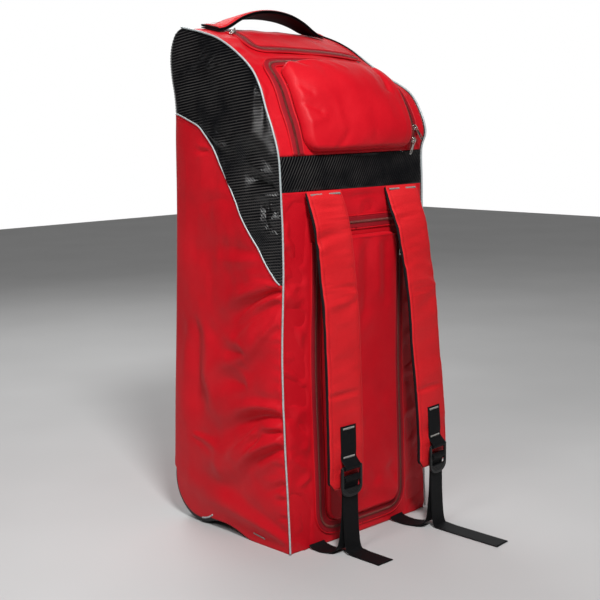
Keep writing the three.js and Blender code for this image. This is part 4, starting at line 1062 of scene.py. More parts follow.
def upper_relief(x, height, u, v):
    fine = noise(x * 16, height * 15, 121, 3) * 0.0016 + creases(x * 24, height * 20, 127) * 0.0006
    return segment_folds(x, height, upper_pocket_folds) * inside(u, v, 0.03) + fine * inside(u, v, 0.08)


def lower_relief(x, height, u, v):
    stretch = noise((x + height * 0.6) * 26, (height - x * 0.6) * 6, 141, 2) * 0.0012
    near_foot = 1 - smooth(height, 0.10, 0.28)
    fine = noise(x * 16, height * 9, 143, 3) * 0.0012
    total = segment_folds(x, height, lower_pocket_folds) + fine + stretch * (0.4 + near_foot)
    return total * inside(u, v, 0.05)


def rounded_path(corners, radius, steps=14):
    """A run of straight pieces whose corners are rounded."""
    corners = [np.array(c, float) for c in corners]
    points = [corners[0]]
    for before, here, after in zip(corners, corners[1:], corners[2:]):
        start = here + (before - here) / np.linalg.norm(before - here) * radius
        end = here + (after - here) / np.linalg.norm(after - here) * radius
        for t in np.linspace(0, 1, steps):
            points.append(start * (1 - t) ** 2 + here * 2 * t * (1 - t) + end * t ** 2)
    points.append(corners[-1])
    return points


UPPER_ZIP_X = UPPER_HALF + ZIP_WIDTH / 2 + ZIP_CLEAR
UPPER_ZIP_TOP = UPPER_TOP + ZIP_WIDTH / 2 + ZIP_CLEAR
LOWER_ZIP_X = LOWER_HALF + ZIP_WIDTH / 2 + ZIP_CLEAR
LOWER_ZIP_BOTTOM = LOWER_BOTTOM - ZIP_WIDTH / 2 - ZIP_CLEAR
UPPER_ZIP_FOOT = BAND_TOP + POCKET_SEAM / 3
LOWER_ZIP_END = LOWER_TOP - POCKET_SEAM
ZIP_SPREAD = UPPER_HALF / 32
TOP_ZIP_SAG = ZIP_WIDTH / 4

zip_paths = {
    "upper_pocket_zip": rounded_path([
        (-UPPER_ZIP_X, UPPER_ZIP_FOOT), (-UPPER_ZIP_X - ZIP_SPREAD, UPPER_ZIP_TOP), (UPPER_ZIP_X, UPPER_ZIP_TOP),
        (UPPER_ZIP_X + ZIP_SPREAD, UPPER_ZIP_FOOT)], POCKET_CORNER),
    "top_zip": rounded_path([
        (TOP_ZIP_LEFT + TOP_ZIP_TURN_IN, TOP_ZIP_END), (TOP_ZIP_LEFT, TOP_ZIP_HEIGHT),
        (TOP_ZIP_LEFT / 12, TOP_ZIP_HEIGHT - TOP_ZIP_SAG), (TOP_ZIP_RIGHT, TOP_ZIP_HEIGHT + TOP_ZIP_SAG)],
        POCKET_CORNER),
    "lower_pocket_zip": rounded_path([
        (-LOWER_ZIP_X, LOWER_ZIP_END), (-LOWER_ZIP_X, LOWER_ZIP_BOTTOM), (LOWER_ZIP_X, LOWER_ZIP_BOTTOM),
        (LOWER_ZIP_X, LOWER_ZIP_END)], POCKET_CORNER * 1.5),
    "slot_zip": rounded_path([
        (-SLOT_HALF, SLOT_HEIGHT), (0, SLOT_HEIGHT), (SLOT_HALF, SLOT_HEIGHT)], ZIP_WIDTH / 2),
}
COIL_HALF = 0.0030
TOOTH_PITCH = 0.0016
TAPE_THICK = 0.0008
WELT_RADIUS = 0.0014


def zip_strip(path, offsets, lift):
    """Grid of points on a zip: offsets across it and a lift for each."""
    run = np.gradient(path, axis=0)
    run /= np.linalg.norm(run, axis=1, keepdims=True)
    aside = np.stack([run[:, 1], -run[:, 0]], axis=1)
    place = path[:, None] + aside[:, None] * np.asarray(offsets)[None, :, None]
    return front_point(place[..., 0], place[..., 1], lift)


def make_zip(name):
    length = np.sum(np.linalg.norm(np.diff(np.array(zip_paths[name]), axis=0), axis=1))
    path = even_points(zip_paths[name], int(length / 0.003))
    half = ZIP_WIDTH / 2
    parts = []
    for hand in (-1, 1):
        offsets = np.array([half, half * 0.8, half * 0.55, COIL_HALF * 1.2, COIL_HALF * 0.4]) * hand
        waves = noise(np.arange(len(path)) * 0.25, np.full(len(path), 3.5), 61 + hand)[:, None] * 0.0003
        lift = ZIP_LIFT + TAPE_THICK + np.array([[0.0, 0.0005, 0.0002, 0.0004, 0.0]]) + waves
        grid = zip_strip(path, offsets, lift)
        inner = zip_strip(path, offsets, ZIP_LIFT)
        points, faces = shell(grid, inner - grid)
        parts.append((points, faces if hand > 0 else faces[:, ::-1]))
    tape_points, tape_faces = joined(parts)
    tape = mesh_piece(name + "_tape", world(tape_points), tape_faces, materials=[mats["tape"]])
    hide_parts(name)

    teeth = even_points(zip_paths[name], int(length / TOOTH_PITCH))
    centre = zip_strip(teeth, [0.0], ZIP_LIFT + TAPE_THICK + 0.0005)[:, 0]
    above = zip_strip(teeth, [0.0], ZIP_LIFT + 0.02)[:, 0]
    along = np.gradient(centre, axis=0)
    along /= np.linalg.norm(along, axis=1, keepdims=True)
    up = above - centre
    up -= along * np.sum(up * along, axis=1, keepdims=True)
    up /= np.linalg.norm(up, axis=1, keepdims=True)
    aside = np.cross(up, along)
    side = np.where(np.arange(len(centre)) % 2 == 0, 1.0, -1.0)[:, None]
    middle = centre + aside * side * COIL_HALF * 0.22
    low = boxes(middle, along, aside, up, (TOOTH_PITCH * 0.72, COIL_HALF * 1.5, 0.0010))
    high = boxes(middle + up * 0.0005, along, aside, up, (TOOTH_PITCH * 0.48, COIL_HALF * 1.2, 0.0007))
    points, faces = joined([low, high])
    mesh_piece(name + "_coil", world(points), faces, materials=[mats["coil"]])

    welts, seams = [], []
    for hand in (-1, 1):
        edge = zip_strip(path, [hand * (half + WELT_RADIUS * 0.4)], ZIP_LIFT + 0.0006)[:, 0]
        welts.append(tube_mesh(edge, WELT_RADIUS, 8))
        row = zip_strip(path, [hand * (half - 0.0022)], ZIP_LIFT + TAPE_THICK + 0.0006)[:, 0]
        over = zip_strip(path, [hand * (half - 0.0022)], ZIP_LIFT + 0.02)[:, 0] - row
        seams.append(stitches(row, over))
    points, faces = joined(welts)
    mesh_piece(name + "_welts", world(points), faces, materials=[mats["red"]])
    points, faces = joined(seams)
    mesh_piece(name + "_stitches", world(points), faces, materials=[mats["thread"]])


def pocket_stitches(name, shape, inset_u, inset_v):
    """A row of stitches just inside a pocket's border."""
    steps = 160
    up_side = np.linspace(inset_v, 1 - inset_v, steps)
    across = np.linspace(inset_u, 1 - inset_u, steps)
    u = np.concatenate([np.full(steps, inset_u), across, np.full(steps, 1 - inset_u)])
    v = np.concatenate([up_side, np.full(steps, 1 - inset_v), up_side[::-1]])
    x, height, puff = shape(u, v)
    base = CLOTH + GAP + POCKET_SEAT + puff
    row = front_point(x, height, base + 0.0004)
    points, faces = stitches(row, front_point(x, height, base + 0.02) - row)
    mesh_piece(name, world(points), faces, materials=[mats["thread"]])


def make_pockets():
    upper = pocket_shape(UPPER_HALF, UPPER_BOTTOM, UPPER_TOP, UPPER_RISE)
    lower = pocket_shape(LOWER_HALF, LOWER_BOTTOM, LOWER_TOP, LOWER_RISE)
    pocket_piece("upper_pocket_cloth", "upper_pocket", upper, 100, 110, upper_relief)
    pocket_piece("lower_pocket_cloth", "lower_pocket", lower, 190, 90, lower_relief)
    pocket_stitches("lower_pocket_stitches", lower, 0.03, 0.012)
    for name in zip_paths:
        make_zip(name)


# Straps and webbing


def strap_parts(label):
    """The places that a strap and what hangs on it share."""
    facts = straps[label]
    twist = math.tan(math.radians(facts["twist"]))
    top = BAND_BOTTOM - 0.001
    length = top - STRAP_END
    clear = STRAP_THICK / 2 * SEWN_SHARE + GAP * 3
    inner_x = math.copysign(abs(facts["x"]) - STRAP_WIDTH / 2, facts["x"])
    rows = np.array(facts["rows"])

    def place(down):
        down = np.asarray(down, float)
        share = np.clip(down, 0, 1)
        cloth = front_point(inner_x, top - length * down)
        off = clear + np.interp(share, rows[:, 0], rows[:, 1]) * STRAP_WIDTH
        aside = np.interp(share, rows[:, 0], rows[:, 2]) * STRAP_WIDTH
        return np.stack([facts["x"] + aside, cloth[..., 1] - off, top - length * down], axis=-1)

    return {"twist": twist, "top": top, "length": length, "place": place, "line": Line(place(rows[:, 0])),
            "at_height": lambda z: place((top - z) / length)}


# Columns: share down the strap, slope across it, width and rise in metres.
strap_creases = {
    "left": [(0.035, 0.00, 0.010, 0.0012), (0.085, 0.02, 0.010, -0.0014), (0.235, -0.02, 0.012, -0.0026),
             (0.262, -0.02, 0.010, 0.0020), (0.450, 0.03, 0.012, -0.0022), (0.475, 0.02, 0.010, 0.0016),
             (0.560, -0.03, 0.012, -0.0018), (0.700, 0.02, 0.014, -0.0012), (0.775, 0.00, 0.003, -0.0030)],
    "right": [(0.060, 0.00, 0.012, 0.0010), (0.180, -0.02, 0.012, -0.0016), (0.330, 0.03, 0.012, -0.0020),
              (0.400, 0.04, 0.010, -0.0026), (0.425, 0.04, 0.010, 0.0020), (0.560, -0.02, 0.012, -0.0018),
              (0.680, 0.02, 0.012, -0.0014), (0.775, 0.00, 0.003, -0.0030)],
}
STRAP_BACK_FROM = 7


def make_strap(label):
    parts = strap_parts(label)
    rows, half_columns = 200, 26
    v = np.linspace(0, 1, rows + 1)
    centre = parts["line"].at(v)
    along = parts["line"].tangent(v)
    normal = np.stack([v * 0, along[:, 2], -along[:, 1]], axis=1)
    normal /= np.linalg.norm(normal, axis=1, keepdims=True)
    from_end = centre[:, 2] - STRAP_END
    chamfer = np.maximum(0, STRAP_THICK * 1.4 - from_end) * 0.8
    sewn = np.minimum(1, SEWN_SHARE + v * 8)
    blunt = np.minimum(1, 0.5 + from_end / STRAP_THICK)
    turn = parts["twist"] * smooth(v, 0.06, 0.4)
    half_width = STRAP_WIDTH / 2 - chamfer
    angle = np.linspace(0, 2 * math.pi, half_columns * 2 + 1)[:-1]
    across = np.sign(np.cos(angle)) * np.abs(np.cos(angle)) ** 0.55
    deep = np.sign(np.sin(angle)) * np.abs(np.sin(angle)) ** 0.55
    seed = 201 if label == "left" else 251
    place_u = across[None, :] * half_width[:, None]
    thick = STRAP_THICK / 2 * (sewn * blunt)[:, None] * deep[None, :]
    relief = noise(place_u * 14, v[:, None] * 26 + place_u * 0, seed, 3) * 0.0015
    for down, slope, width, rise in strap_creases[label]:
        off = (v[:, None] - down - slope * across[None, :]) * parts["length"] / width
        fade = 0.55 + 0.45 * np.cos(across[None, :] * 2.2 + down * 9)
        relief = relief + rise * 1.7 * np.exp(-off ** 2) * fade
    front = np.clip(deep, 0, 1)[None, :]
    edge_seam = np.exp(-((np.abs(place_u) - half_width[:, None] + 0.006) / 0.0016) ** 2) * 0.0009
    ends = smooth(v, 0.0, 0.03)[:, None] * (1 - smooth(v, 0.97, 1.0))[:, None]
    out = thick + (relief - edge_seam) * front * ends
    grid = centre[:, None] + normal[:, None] * out[..., None]
    grid[..., 0] += place_u
    grid[..., 1] += place_u * turn[:, None]
    count, sides = rows + 1, len(angle)
    index = np.arange(count * sides).reshape(count, sides)
    quads = np.stack([index[:-1], np.roll(index[:-1], -1, 1), np.roll(index[1:], -1, 1), index[1:]], axis=-1)
    backed = np.broadcast_to(np.roll(deep, -1) + deep < 0.5, (rows, sides)).reshape(-1)
    faces = [tuple(q) for q in quads.reshape(-1, 4)]
    faces += [tuple(index[0][::-1]), tuple(index[-1])]
    picks = np.concatenate([backed.astype(int), [0, 0]])
    strap = mesh_piece(f"strap_pad_{label}", world(grid.reshape(-1, 3)), faces,
                       materials=[mats["strap"], mats["strap_back"]], picks=picks)
    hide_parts(f"shoulder_strap_{label}")

    def face_at(x_share, share, lift):
        share = np.asarray(share, float)
        point = parts["line"].at(share)
        run = parts["line"].tangent(share)
        out_way = np.stack([share * 0, run[:, 2], -run[:, 1]], axis=1)
        off = x_share * np.interp(share, v, half_width)
        point[:, 0] += off
        point[:, 1] += off * np.interp(share, v, turn)
        thickness = STRAP_THICK / 2 * np.interp(share, v, sewn * blunt)
        return point + out_way * (thickness + lift)[:, None], out_way

    piping, seams = [], []
    for x_share in (-1, 1):
        share = np.linspace(0.004, 0.985, 220)
        rim, out_way = face_at(x_share * 0.99, share, 0.0)
        rim -= out_way * (STRAP_THICK * 0.78 * np.interp(share, v, sewn * blunt))[:, None]
        piping.append(tube_mesh(rim, 0.0018, 8))
        row, out_way = face_at(x_share * 0.87, np.linspace(0.01, 0.97, 220), -0.0009)
        seams.append(stitches(row, out_way))
    points, faces = joined(piping)
    mesh_piece(f"strap_edging_{label}", world(points), faces, materials=[mats["webbing"]])
    points, faces = joined(seams)
    mesh_piece(f"strap_stitches_{label}", world(points), faces, materials=[mats["thread"]])

    tacks = []
    for low, high in ((-0.86, -0.22), (0.20, 0.84)):
        x_share = np.linspace(low, high, 12)
        points = np.array([face_at(s, np.array([0.018]), 0.0006)[0][0] for s in x_share])
        tacks.append(bar_tack(points, face_at(0, np.array([0.018]), 0)[1][0]))
    points, faces = joined(tacks)
    mesh_piece(f"strap_tacks_{label}", world(points), faces,
               materials=[mats["thread_grey"]])


def bar_tack(points, up, width=0.0032):
    """A dense zigzag of thread along a short line."""
    line = even_points(points, max(8, int(np.linalg.norm(points[-1] - points[0]) / 0.00045)))
    along = line[-1] - line[0]
    along /= np.linalg.norm(along)
    aside = np.cross(up, along)
    swing = np.where(np.arange(len(line)) % 2 == 0, 1.0, -1.0)[:, None]
    return tube_mesh(line + aside * swing * width / 2, 0.00048, 6, up=up)


def web_strip(name, node, route, twist, steps, relief=0.0):
    """Webbing along a route, with rolled edges and a slightly hollow face."""
    line = Line(route)
    share = np.linspace(0, 1, steps + 1)
    point, along = line.at(share), line.tangent(share)
    normal = np.stack([share * 0, -along[:, 2], along[:, 1]], axis=1)
    normal /= np.linalg.norm(normal, axis=1, keepdims=True)
    across = np.array([-1, -0.985, -0.93, -0.8, -0.5, -0.2, 0.2, 0.5, 0.8, 0.93, 0.985, 1])
    thick = WEB_THICK / 2 * np.array([0.25, 0.75, 1.0, 1.0, 0.86, 0.82, 0.82, 0.86, 1.0, 1.0, 0.75, 0.25])
    off = across[None, :] * WEB_WIDTH / 2
    sway = noise(share[:, None] * 9 + off * 0, off * 40 + share[:, None] * 3, 301, 2) * relief
    base = point[:, None] + normal[:, None] * sway[..., None]
    base[..., 0] += off
    base[..., 1] += off * twist
    outer = base + normal[:, None] * thick[None, :, None]
    points, faces = shell(outer, -2 * normal[:, None] * thick[None, :, None])
    piece = mesh_piece(name, world(points), faces, materials=[mats["webbing"]])
    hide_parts(node)
    return point, normal


def rounded_plate(outline, holes, thick, bevel):
    """A plate with rounded rims, in the XZ plane, from an outline and holes given in x and z."""
    data = bpy.data.curves.new("plate", "CURVE")
    data.dimensions = "2D"
    data.fill_mode = "BOTH"
    data.extrude = thick / 2 - bevel
    data.bevel_depth = bevel
    data.bevel_resolution = 3
    data.offset = -bevel
    for ring in [outline, *holes]:
        spline = data.splines.new("POLY")
        spline.points.add(len(ring) - 1)
        for point, (x, z) in zip(spline.points, ring):
            point.co = (x, z, 0, 1)
        spline.use_cyclic_u = True
    holder = bpy.data.objects.new("plate", data)
    bpy.context.scene.collection.objects.link(holder)
    mesh = bpy.data.meshes.new_from_object(holder)
    bpy.data.objects.remove(holder)
    mesh.transform(Matrix.Rotation(math.pi / 2, 4, "X"))
    return mesh


def rounded_rectangle(low_x, high_x, low_z, high_z, radius, steps=6):
    points = []
    for cx, cz, start in ((high_x - radius, high_z - radius, 0), (low_x + radius, high_z - radius, 90),
                          (low_x + radius, low_z + radius, 180), (high_x - radius, low_z + radius, 270)):
        for k in range(steps + 1):
            turn = math.radians(start + 90 * k / steps)
            points.append((cx + radius * math.cos(turn), cz + radius * math.sin(turn)))
    return points


def make_buckle(label):
    parts = strap_parts(label)
    twist = parts["twist"]
    buckle_top = STRAP_END + BUCKLE_OVERLAP
    strap_front = parts["at_height"](STRAP_END)[1] - STRAP_THICK / 2
    buckle_y = strap_front - WEB_THICK - GAP * 2 - LOOP_SLACK - BUCKLE_THICK / 2
    buckle_x = parts["at_height"](buckle_top)[0]
    waist = -BUCKLE_HEIGHT * 0.7
    slot_half = BUCKLE_WIDTH / 2 - BUCKLE_RAIL
    slot_tall = (-waist - BUCKLE_BAR * 2) / 2
    half = BUCKLE_WIDTH / 2
    outline = [(half - 0.003, 0), (-half + 0.003, 0), (-half, -0.003), (-half, waist)]
    for k in range(1, 12):
        turn = math.pi * k / 12
        outline.append((-half * math.cos(turn) * 0.98, waist - (BUCKLE_HEIGHT + waist) * math.sin(turn) ** 0.8))
    outline += [(half, waist), (half, -0.003)]
    holes = []
    for n in range(2):
        high = -BUCKLE_BAR - n * (slot_tall + BUCKLE_BAR)
        holes.append(rounded_rectangle(-slot_half, slot_half, high - slot_tall, high, 0.002))
    mesh = rounded_plate(outline, holes, BUCKLE_THICK, 0.0011)
    place = Matrix.Translation((buckle_x, buckle_y + SHIFT_Y, buckle_top)) @ Matrix.Rotation(math.atan(twist), 4, "Z")
    mesh.transform(place)
    mesh.materials.clear()
    mesh.materials.append(mats["plastic"])
    mesh.polygons.foreach_set("use_smooth", np.full(len(mesh.polygons), True))
    buckle = bpy.data.objects.new(f"buckle_{label}", mesh)
    bpy.context.scene.collection.objects.link(buckle)
    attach(buckle, "bag")
    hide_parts(f"ladder_lock_{label}")

    ribs = []
    for k in range(4):
        z = buckle_top + waist - 0.003 - k * 0.0026
        wide = half * (0.80 - 0.13 * k)
        x = np.linspace(-wide, wide, 16)
        rib = np.stack([buckle_x + x, buckle_y + x * twist - BUCKLE_THICK / 2 + x * 0, z + x * 0], axis=1)
        ribs.append(tube_mesh(rib, 0.0007, 8, up=(0, 0, 1)))
    points, faces = joined(ribs)
    mesh_piece(f"buckle_grip_{label}", world(points), faces, materials=[mats["plastic"]])

    clear_bar = BUCKLE_THICK / 2 + WEB_THICK / 2 + GAP * 2
    bar_z = buckle_top - BUCKLE_BAR / 2
    under = buckle_top - BUCKLE_BAR - WEB_THICK / 2 - GAP * 2
    loop_foot = buckle_top + BUCKLE_BAR * 2.4

    def strap_face(z):
        return parts["at_height"](z)[1] - STRAP_THICK / 2 - WEB_THICK / 2 - LOOP_GAP

    loop = []
    for share in (1, 0.75, 0.5, 0.25, 0):
        z = loop_foot + (LOOP_TOP - loop_foot) * share
        loop.append((buckle_x, strap_face(z) + LOOP_GAP * 0.6, z))
    loop += [
        (buckle_x, buckle_y - clear_bar, bar_z + 0.003),
        (buckle_x, buckle_y - clear_bar * 0.8, under + 0.0006),
        (buckle_x, buckle_y, under - 0.0006),
        (buckle_x, buckle_y + clear_bar * 0.8, under + 0.0006),
        (buckle_x, buckle_y + clear_bar, bar_z + 0.002),
    ]
    web_strip(f"buckle_web_{label}", f"buckle_loop_{label}", loop, twist, 120)
    tacks = []
    for z in (LOOP_TOP - 0.005, buckle_top + 0.014):
        x = np.linspace(-WEB_WIDTH * 0.36, WEB_WIDTH * 0.36, 6)
        y = strap_face(z) + LOOP_GAP * 0.6 - WEB_THICK / 2 - 0.0003
        row = np.stack([buckle_x + x, y + x * twist, z + x * 0], axis=1)
        tacks.append(bar_tack(row, np.array([0, -1.0, 0])))
    points, faces = joined(tacks)
    mesh_piece(f"web_tacks_{label}", world(points), faces, materials=[mats["thread_grey"]])

    floor_z = WEB_THICK / 2 + GAP * 2
    root_x = buckle_x - SLACK_SHIFT
    seam_y = front_point(root_x, 0.004)[1] - abs(twist) * WEB_WIDTH * 0.4
    bar_mid = buckle_top - BUCKLE_BAR * 1.5 - slot_tall
    lip = buckle_top - BUCKLE_HEIGHT
    bar_half = BUCKLE_BAR / 2
    turn = WEB_THICK / 2 + GAP * 3
    tail_y = buckle_y + clear_bar + GAP
    rising_y = tail_y + WEB_THICK + GAP * 3
    bend = WEB_WIDTH * 0.55
    rest = straps[label]["tail"] - lip
    route = [
        (root_x, seam_y - WEB_THICK / 2 - GAP, floor_z + 0.006),
        (root_x, seam_y - 0.010, floor_z + 0.0015),
        (buckle_x - SLACK_SHIFT * 0.9, (seam_y + rising_y) / 2 - 0.004, floor_z),
        (buckle_x - SLACK_SHIFT * 0.5, rising_y + 0.002, floor_z + 0.010),
        (buckle_x - SLACK_SHIFT * 0.1, rising_y + 0.001, lip * 0.5),
        (buckle_x, rising_y, lip),
        (buckle_x, rising_y, bar_mid - bar_half - slot_tall),
        (buckle_x, rising_y - 0.001, bar_mid - bar_half),
        (buckle_x, buckle_y + clear_bar, bar_mid + bar_half),
        (buckle_x, buckle_y + BUCKLE_THICK / 2, bar_mid + bar_half + turn),
        (buckle_x, buckle_y - BUCKLE_THICK / 2, bar_mid + bar_half + turn),
        (buckle_x, buckle_y - clear_bar, bar_mid + bar_half),
        (buckle_x, buckle_y - clear_bar, bar_mid - bar_half),
        (buckle_x, buckle_y - BUCKLE_THICK / 4, bar_mid - bar_half - turn * 1.6),
        (buckle_x, tail_y - GAP, bar_mid - bar_half - slot_tall * 0.72),
        (buckle_x, tail_y, lip + bar_half),
        (buckle_x, tail_y, lip - bar_half),
        (buckle_x, tail_y - 0.001, lip * 0.55),
        (buckle_x, tail_y - bend * 0.3, bend * 0.45),
        (buckle_x, tail_y - bend, floor_z + 0.001),
        (buckle_x, tail_y - bend - (rest - bend) * 0.5, floor_z),
        (buckle_x, tail_y - bend - (rest - bend), floor_z),
    ]
    web_strip(f"adjuster_web_{label}", f"adjuster_webbing_{label}", route, twist, 420)


# Handle


# Columns: share of the half span and share of the rise.
handle_rows = [
    (-1.00, 0.00), (-0.90, 0.00), (-0.78, 0.14), (-0.58, 0.55), (-0.32, 0.88), (0.00, 1.00),
    (0.32, 0.88), (0.58, 0.55), (0.78, 0.14), (0.90, 0.00), (1.00, 0.00),
]
handle_line = Line([(a * HANDLE_HALF, 0, b * HANDLE_RISE) for a, b in handle_rows])


# The lying handle leans back: its front edge stands higher than its rear edge by this slope.
HANDLE_TILT = 0.36


def handle_grid(lift_low, lift_high, columns, rows, crown):
    """A closed bar of handle along its arch: rings of points round it."""
    v = np.linspace(0, 1, rows + 1)
    line, along = handle_line.at(v), handle_line.tangent(v)
    angle = np.linspace(0, 2 * math.pi, columns + 1)[:-1]
    across = np.sign(np.cos(angle)) * np.abs(np.cos(angle)) ** 0.45
    deep = np.sign(np.sin(angle)) * np.abs(np.sin(angle)) ** 0.6
    middle, half = (lift_low + lift_high) / 2, (lift_high - lift_low) / 2
    lift = middle + deep[None, :] * half + v[:, None] * 0
    lift = lift + crown * (np.clip(deep, 0, 1) * (1 - across ** 2))[None, :] * np.sin(math.pi * v)[:, None]
    height = HANDLE_HEIGHT + across * HANDLE_WIDTH / 2
    seat = GAP * 2 + HANDLE_BACKING
    grid = front_point(line[:, None, 0] + 0 * height[None, :], height[None, :] + 0 * line[:, None, 0], seat)
    grid[..., 0] -= along[:, None, 2] * lift
    grid[..., 2] += np.maximum(0, line[:, None, 2]) + along[:, None, 0] * lift
    grid[..., 2] -= across[None, :] * HANDLE_WIDTH / 2 * HANDLE_TILT * np.sin(math.pi * v)[:, None] ** 1.5
    count = rows + 1
    index = np.arange(count * columns).reshape(count, columns)
    quads = np.stack([index[:-1], index[1:], np.roll(index[1:], -1, 1), np.roll(index[:-1], -1, 1)], axis=-1)
    faces = [tuple(q) for q in quads.reshape(-1, 4)]
    faces += [tuple(index[0]), tuple(index[-1][::-1])]
    return grid.reshape(-1, 3), faces


def make_handle():
    points, faces = handle_grid(GAP, GAP + HANDLE_THICK, 36, 120, 0.0012)
    angle = (np.arange(36) + 0.5) * 2 * math.pi / 36
    bound = np.broadcast_to(np.sin(angle) < 0.42, (120, 36)).reshape(-1)
    picks = np.concatenate([bound.astype(int), [1, 1]])
    grip = mesh_piece("handle_pad", world(points), faces,
                      materials=[mats["strap"], mats["webbing"]], picks=picks)
    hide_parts("handle_grip")
    points, faces = handle_grid(-HANDLE_BACKING, 0.0, 24, 120, 0.0)
    back = mesh_piece("handle_web", world(points), faces, materials=[mats["webbing"]])
    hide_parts("handle_backing")
    rows = []
    seat = GAP * 3 + HANDLE_BACKING + HANDLE_THICK
    v = np.linspace(0.02, 0.98, 160)
    line, along = handle_line.at(v), handle_line.tangent(v)
    for off in (-0.40, 0.40):
        row = front_point(line[:, 0], HANDLE_HEIGHT + off * HANDLE_WIDTH, GAP * 2 + HANDLE_BACKING)
        up = np.stack([-along[:, 2], along[:, 0] * 0, along[:, 0]], axis=1)
        row = row + up * (GAP + HANDLE_THICK + 0.0001)
        row[:, 2] += line[:, 2] - off * HANDLE_WIDTH * HANDLE_TILT * np.sin(math.pi * v) ** 1.5
        rows.append(stitches(row, up))
    for hand in (-1, 1):
        low, high = 0.80 * HANDLE_HALF, 0.97 * HANDLE_HALF
        reach = HANDLE_WIDTH * 0.36
        ends = [(low, -reach), (high, -reach), (high, reach), (low, reach), (low, -reach), (high, reach)]
        path = even_points([(hand * a, b) for a, b in ends], 120)
        rise = np.interp(np.abs(path[:, 0]), np.abs(handle_line.points[5:, 0]), handle_line.points[5:, 2])
        row = front_point(path[:, 0], HANDLE_HEIGHT + path[:, 1], seat + 0.0003)
        row[:, 2] += rise
        rows.append(stitches(row, np.array([0, 0, 1.0])))
    points, faces = joined(rows)
    mesh_piece("handle_stitches", world(points), faces, materials=[mats["thread"]])


# Back and base


def line_grid(line, rows, columns, share_from, share_to, lift):
    x = np.linspace(-INNER_HALF, INNER_HALF, columns + 1)
    lengths = line.lengths()
    places = np.linspace(share_from, share_to, rows + 1) * lengths[-1]
    share = np.interp(places, lengths, np.linspace(0, 1, len(lengths)))
    point, along = line.at(share), line.tangent(share)
    point[:, 2] = np.maximum(point[:, 2], 0)
    grid = np.zeros((rows + 1, columns + 1, 3))
    grid[..., 0] = x[None, :]
    lift = np.broadcast_to(lift(x[None, :], places[:, None]), (rows + 1, columns + 1))
    grid[..., 1] = point[:, None, 1] - lift * along[:, None, 2]
    grid[..., 2] = point[:, None, 2] + lift * along[:, None, 1]
    return grid


HOUSING_WIDTH = 0.056
HOUSING_FRONT = HOUSING_Y - HOUSING_RADIUS * 0.86
HOUSING_TOP = HOUSING_Z + HOUSING_RADIUS * 0.5
HOUSING_X = BODY_WIDTH / 2 - CLOTH - GAP - HOUSING_WIDTH / 2
CORNER_X = HOUSING_X - HOUSING_WIDTH / 2 - GAP


def without_corners(points, faces):
    """The faces that lie clear of both wheel housings."""
    points, faces = np.asarray(points), np.asarray(faces)
    corner = points[faces]
    in_x = np.abs(corner[..., 0]) > CORNER_X + 1e-5
    in_y = corner[..., 1] > HOUSING_FRONT - GAP + 1e-5
    in_z = corner[..., 2] < HOUSING_TOP + GAP - 1e-5
    return faces[~np.any(in_x & in_y & in_z, axis=1)]



def make_back():
    def back_lift(x, place):
        edge = smooth(BODY_WIDTH / 2 - np.abs(x), 0.0, 0.03) * smooth(place, 0.0, 0.04)
        soft = noise(x * 9, place * 6, 401, 3) * 0.0030 + creases(x * 9, place * 13, 407) * 0.0012
        return (soft - 0.002) * edge

    half = GAP / 2 / back_line.lengths()[-1]
    outer = line_grid(back_line, 120, 64, half, 1 - half, back_lift)
    inner = line_grid(back_line, 120, 64, half, 1 - half, lambda x, place: back_lift(x, place) - CLOTH)
    trimmed_panel("back_cloth", "back_panel", outer, inner, mats["red"])

    rows = []
    up_way = np.array([0, 1.0, 0.0])
    for x in (-INNER_HALF + 0.006, INNER_HALF - 0.006):
        share = np.linspace(0.06, 0.80, 260)
        points = back_line.at(share)
        along = back_line.tangent(share)
        points[:, 0] = x
        points[:, 1] -= 0.0001 * along[:, 2]
        rows.append(stitches(points, up_way))
    points, faces = joined(rows)
    mesh_piece("back_stitches", world(points), faces, materials=[mats["thread"]])


def make_base():
    length = base_line.lengths()[-1]
    low, high = GAP / length, 1 - (CLOTH * 3 + GAP) / length
    outer = line_grid(base_line, 60, 48, low, high, lambda x, place: x * 0 + place * 0)
    inner = line_grid(base_line, 60, 48, low, high, lambda x, place: x * 0 + place * 0 - CLOTH)
    trimmed_panel("base_sheet", "base_panel", outer, inner, mats["base"])


def trimmed_panel(name, node, outer, inner, material):
    """A sheet with the two corners at the wheels left out."""
    rows, columns = outer.shape[:2]
    flat = outer.reshape(-1, 3)
    quads = without_corners(flat, grid_faces(rows, columns))
    used = set(map(tuple, np.sort(np.concatenate([
        np.stack([quads[:, k], quads[:, (k + 1) % 4]], axis=1) for k in range(4)]), axis=1)))
    counts = {}
    for quad in quads:
        for k in range(4):
            a, b = int(quad[k]), int(quad[(k + 1) % 4])
            counts[(a, b)] = counts.get((a, b), 0) + 1
    count = len(flat)
    rims = [(b, a, a + count, b + count) for (a, b) in counts if (b, a) not in counts]
    faces = [tuple(q) for q in quads] + [tuple(q[::-1] + count) for q in quads] + rims
    points = np.concatenate([flat, inner.reshape(-1, 3)])
    kept = np.unique(np.concatenate([np.array(f) for f in faces]))
    order = np.full(len(points), -1)
    order[kept] = np.arange(len(kept))
    faces = [tuple(int(order[k]) for k in face) for face in faces]
    piece = mesh_piece(name, world(points[kept]), faces, materials=[material])
    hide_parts(node)
    return piece


# Wheels


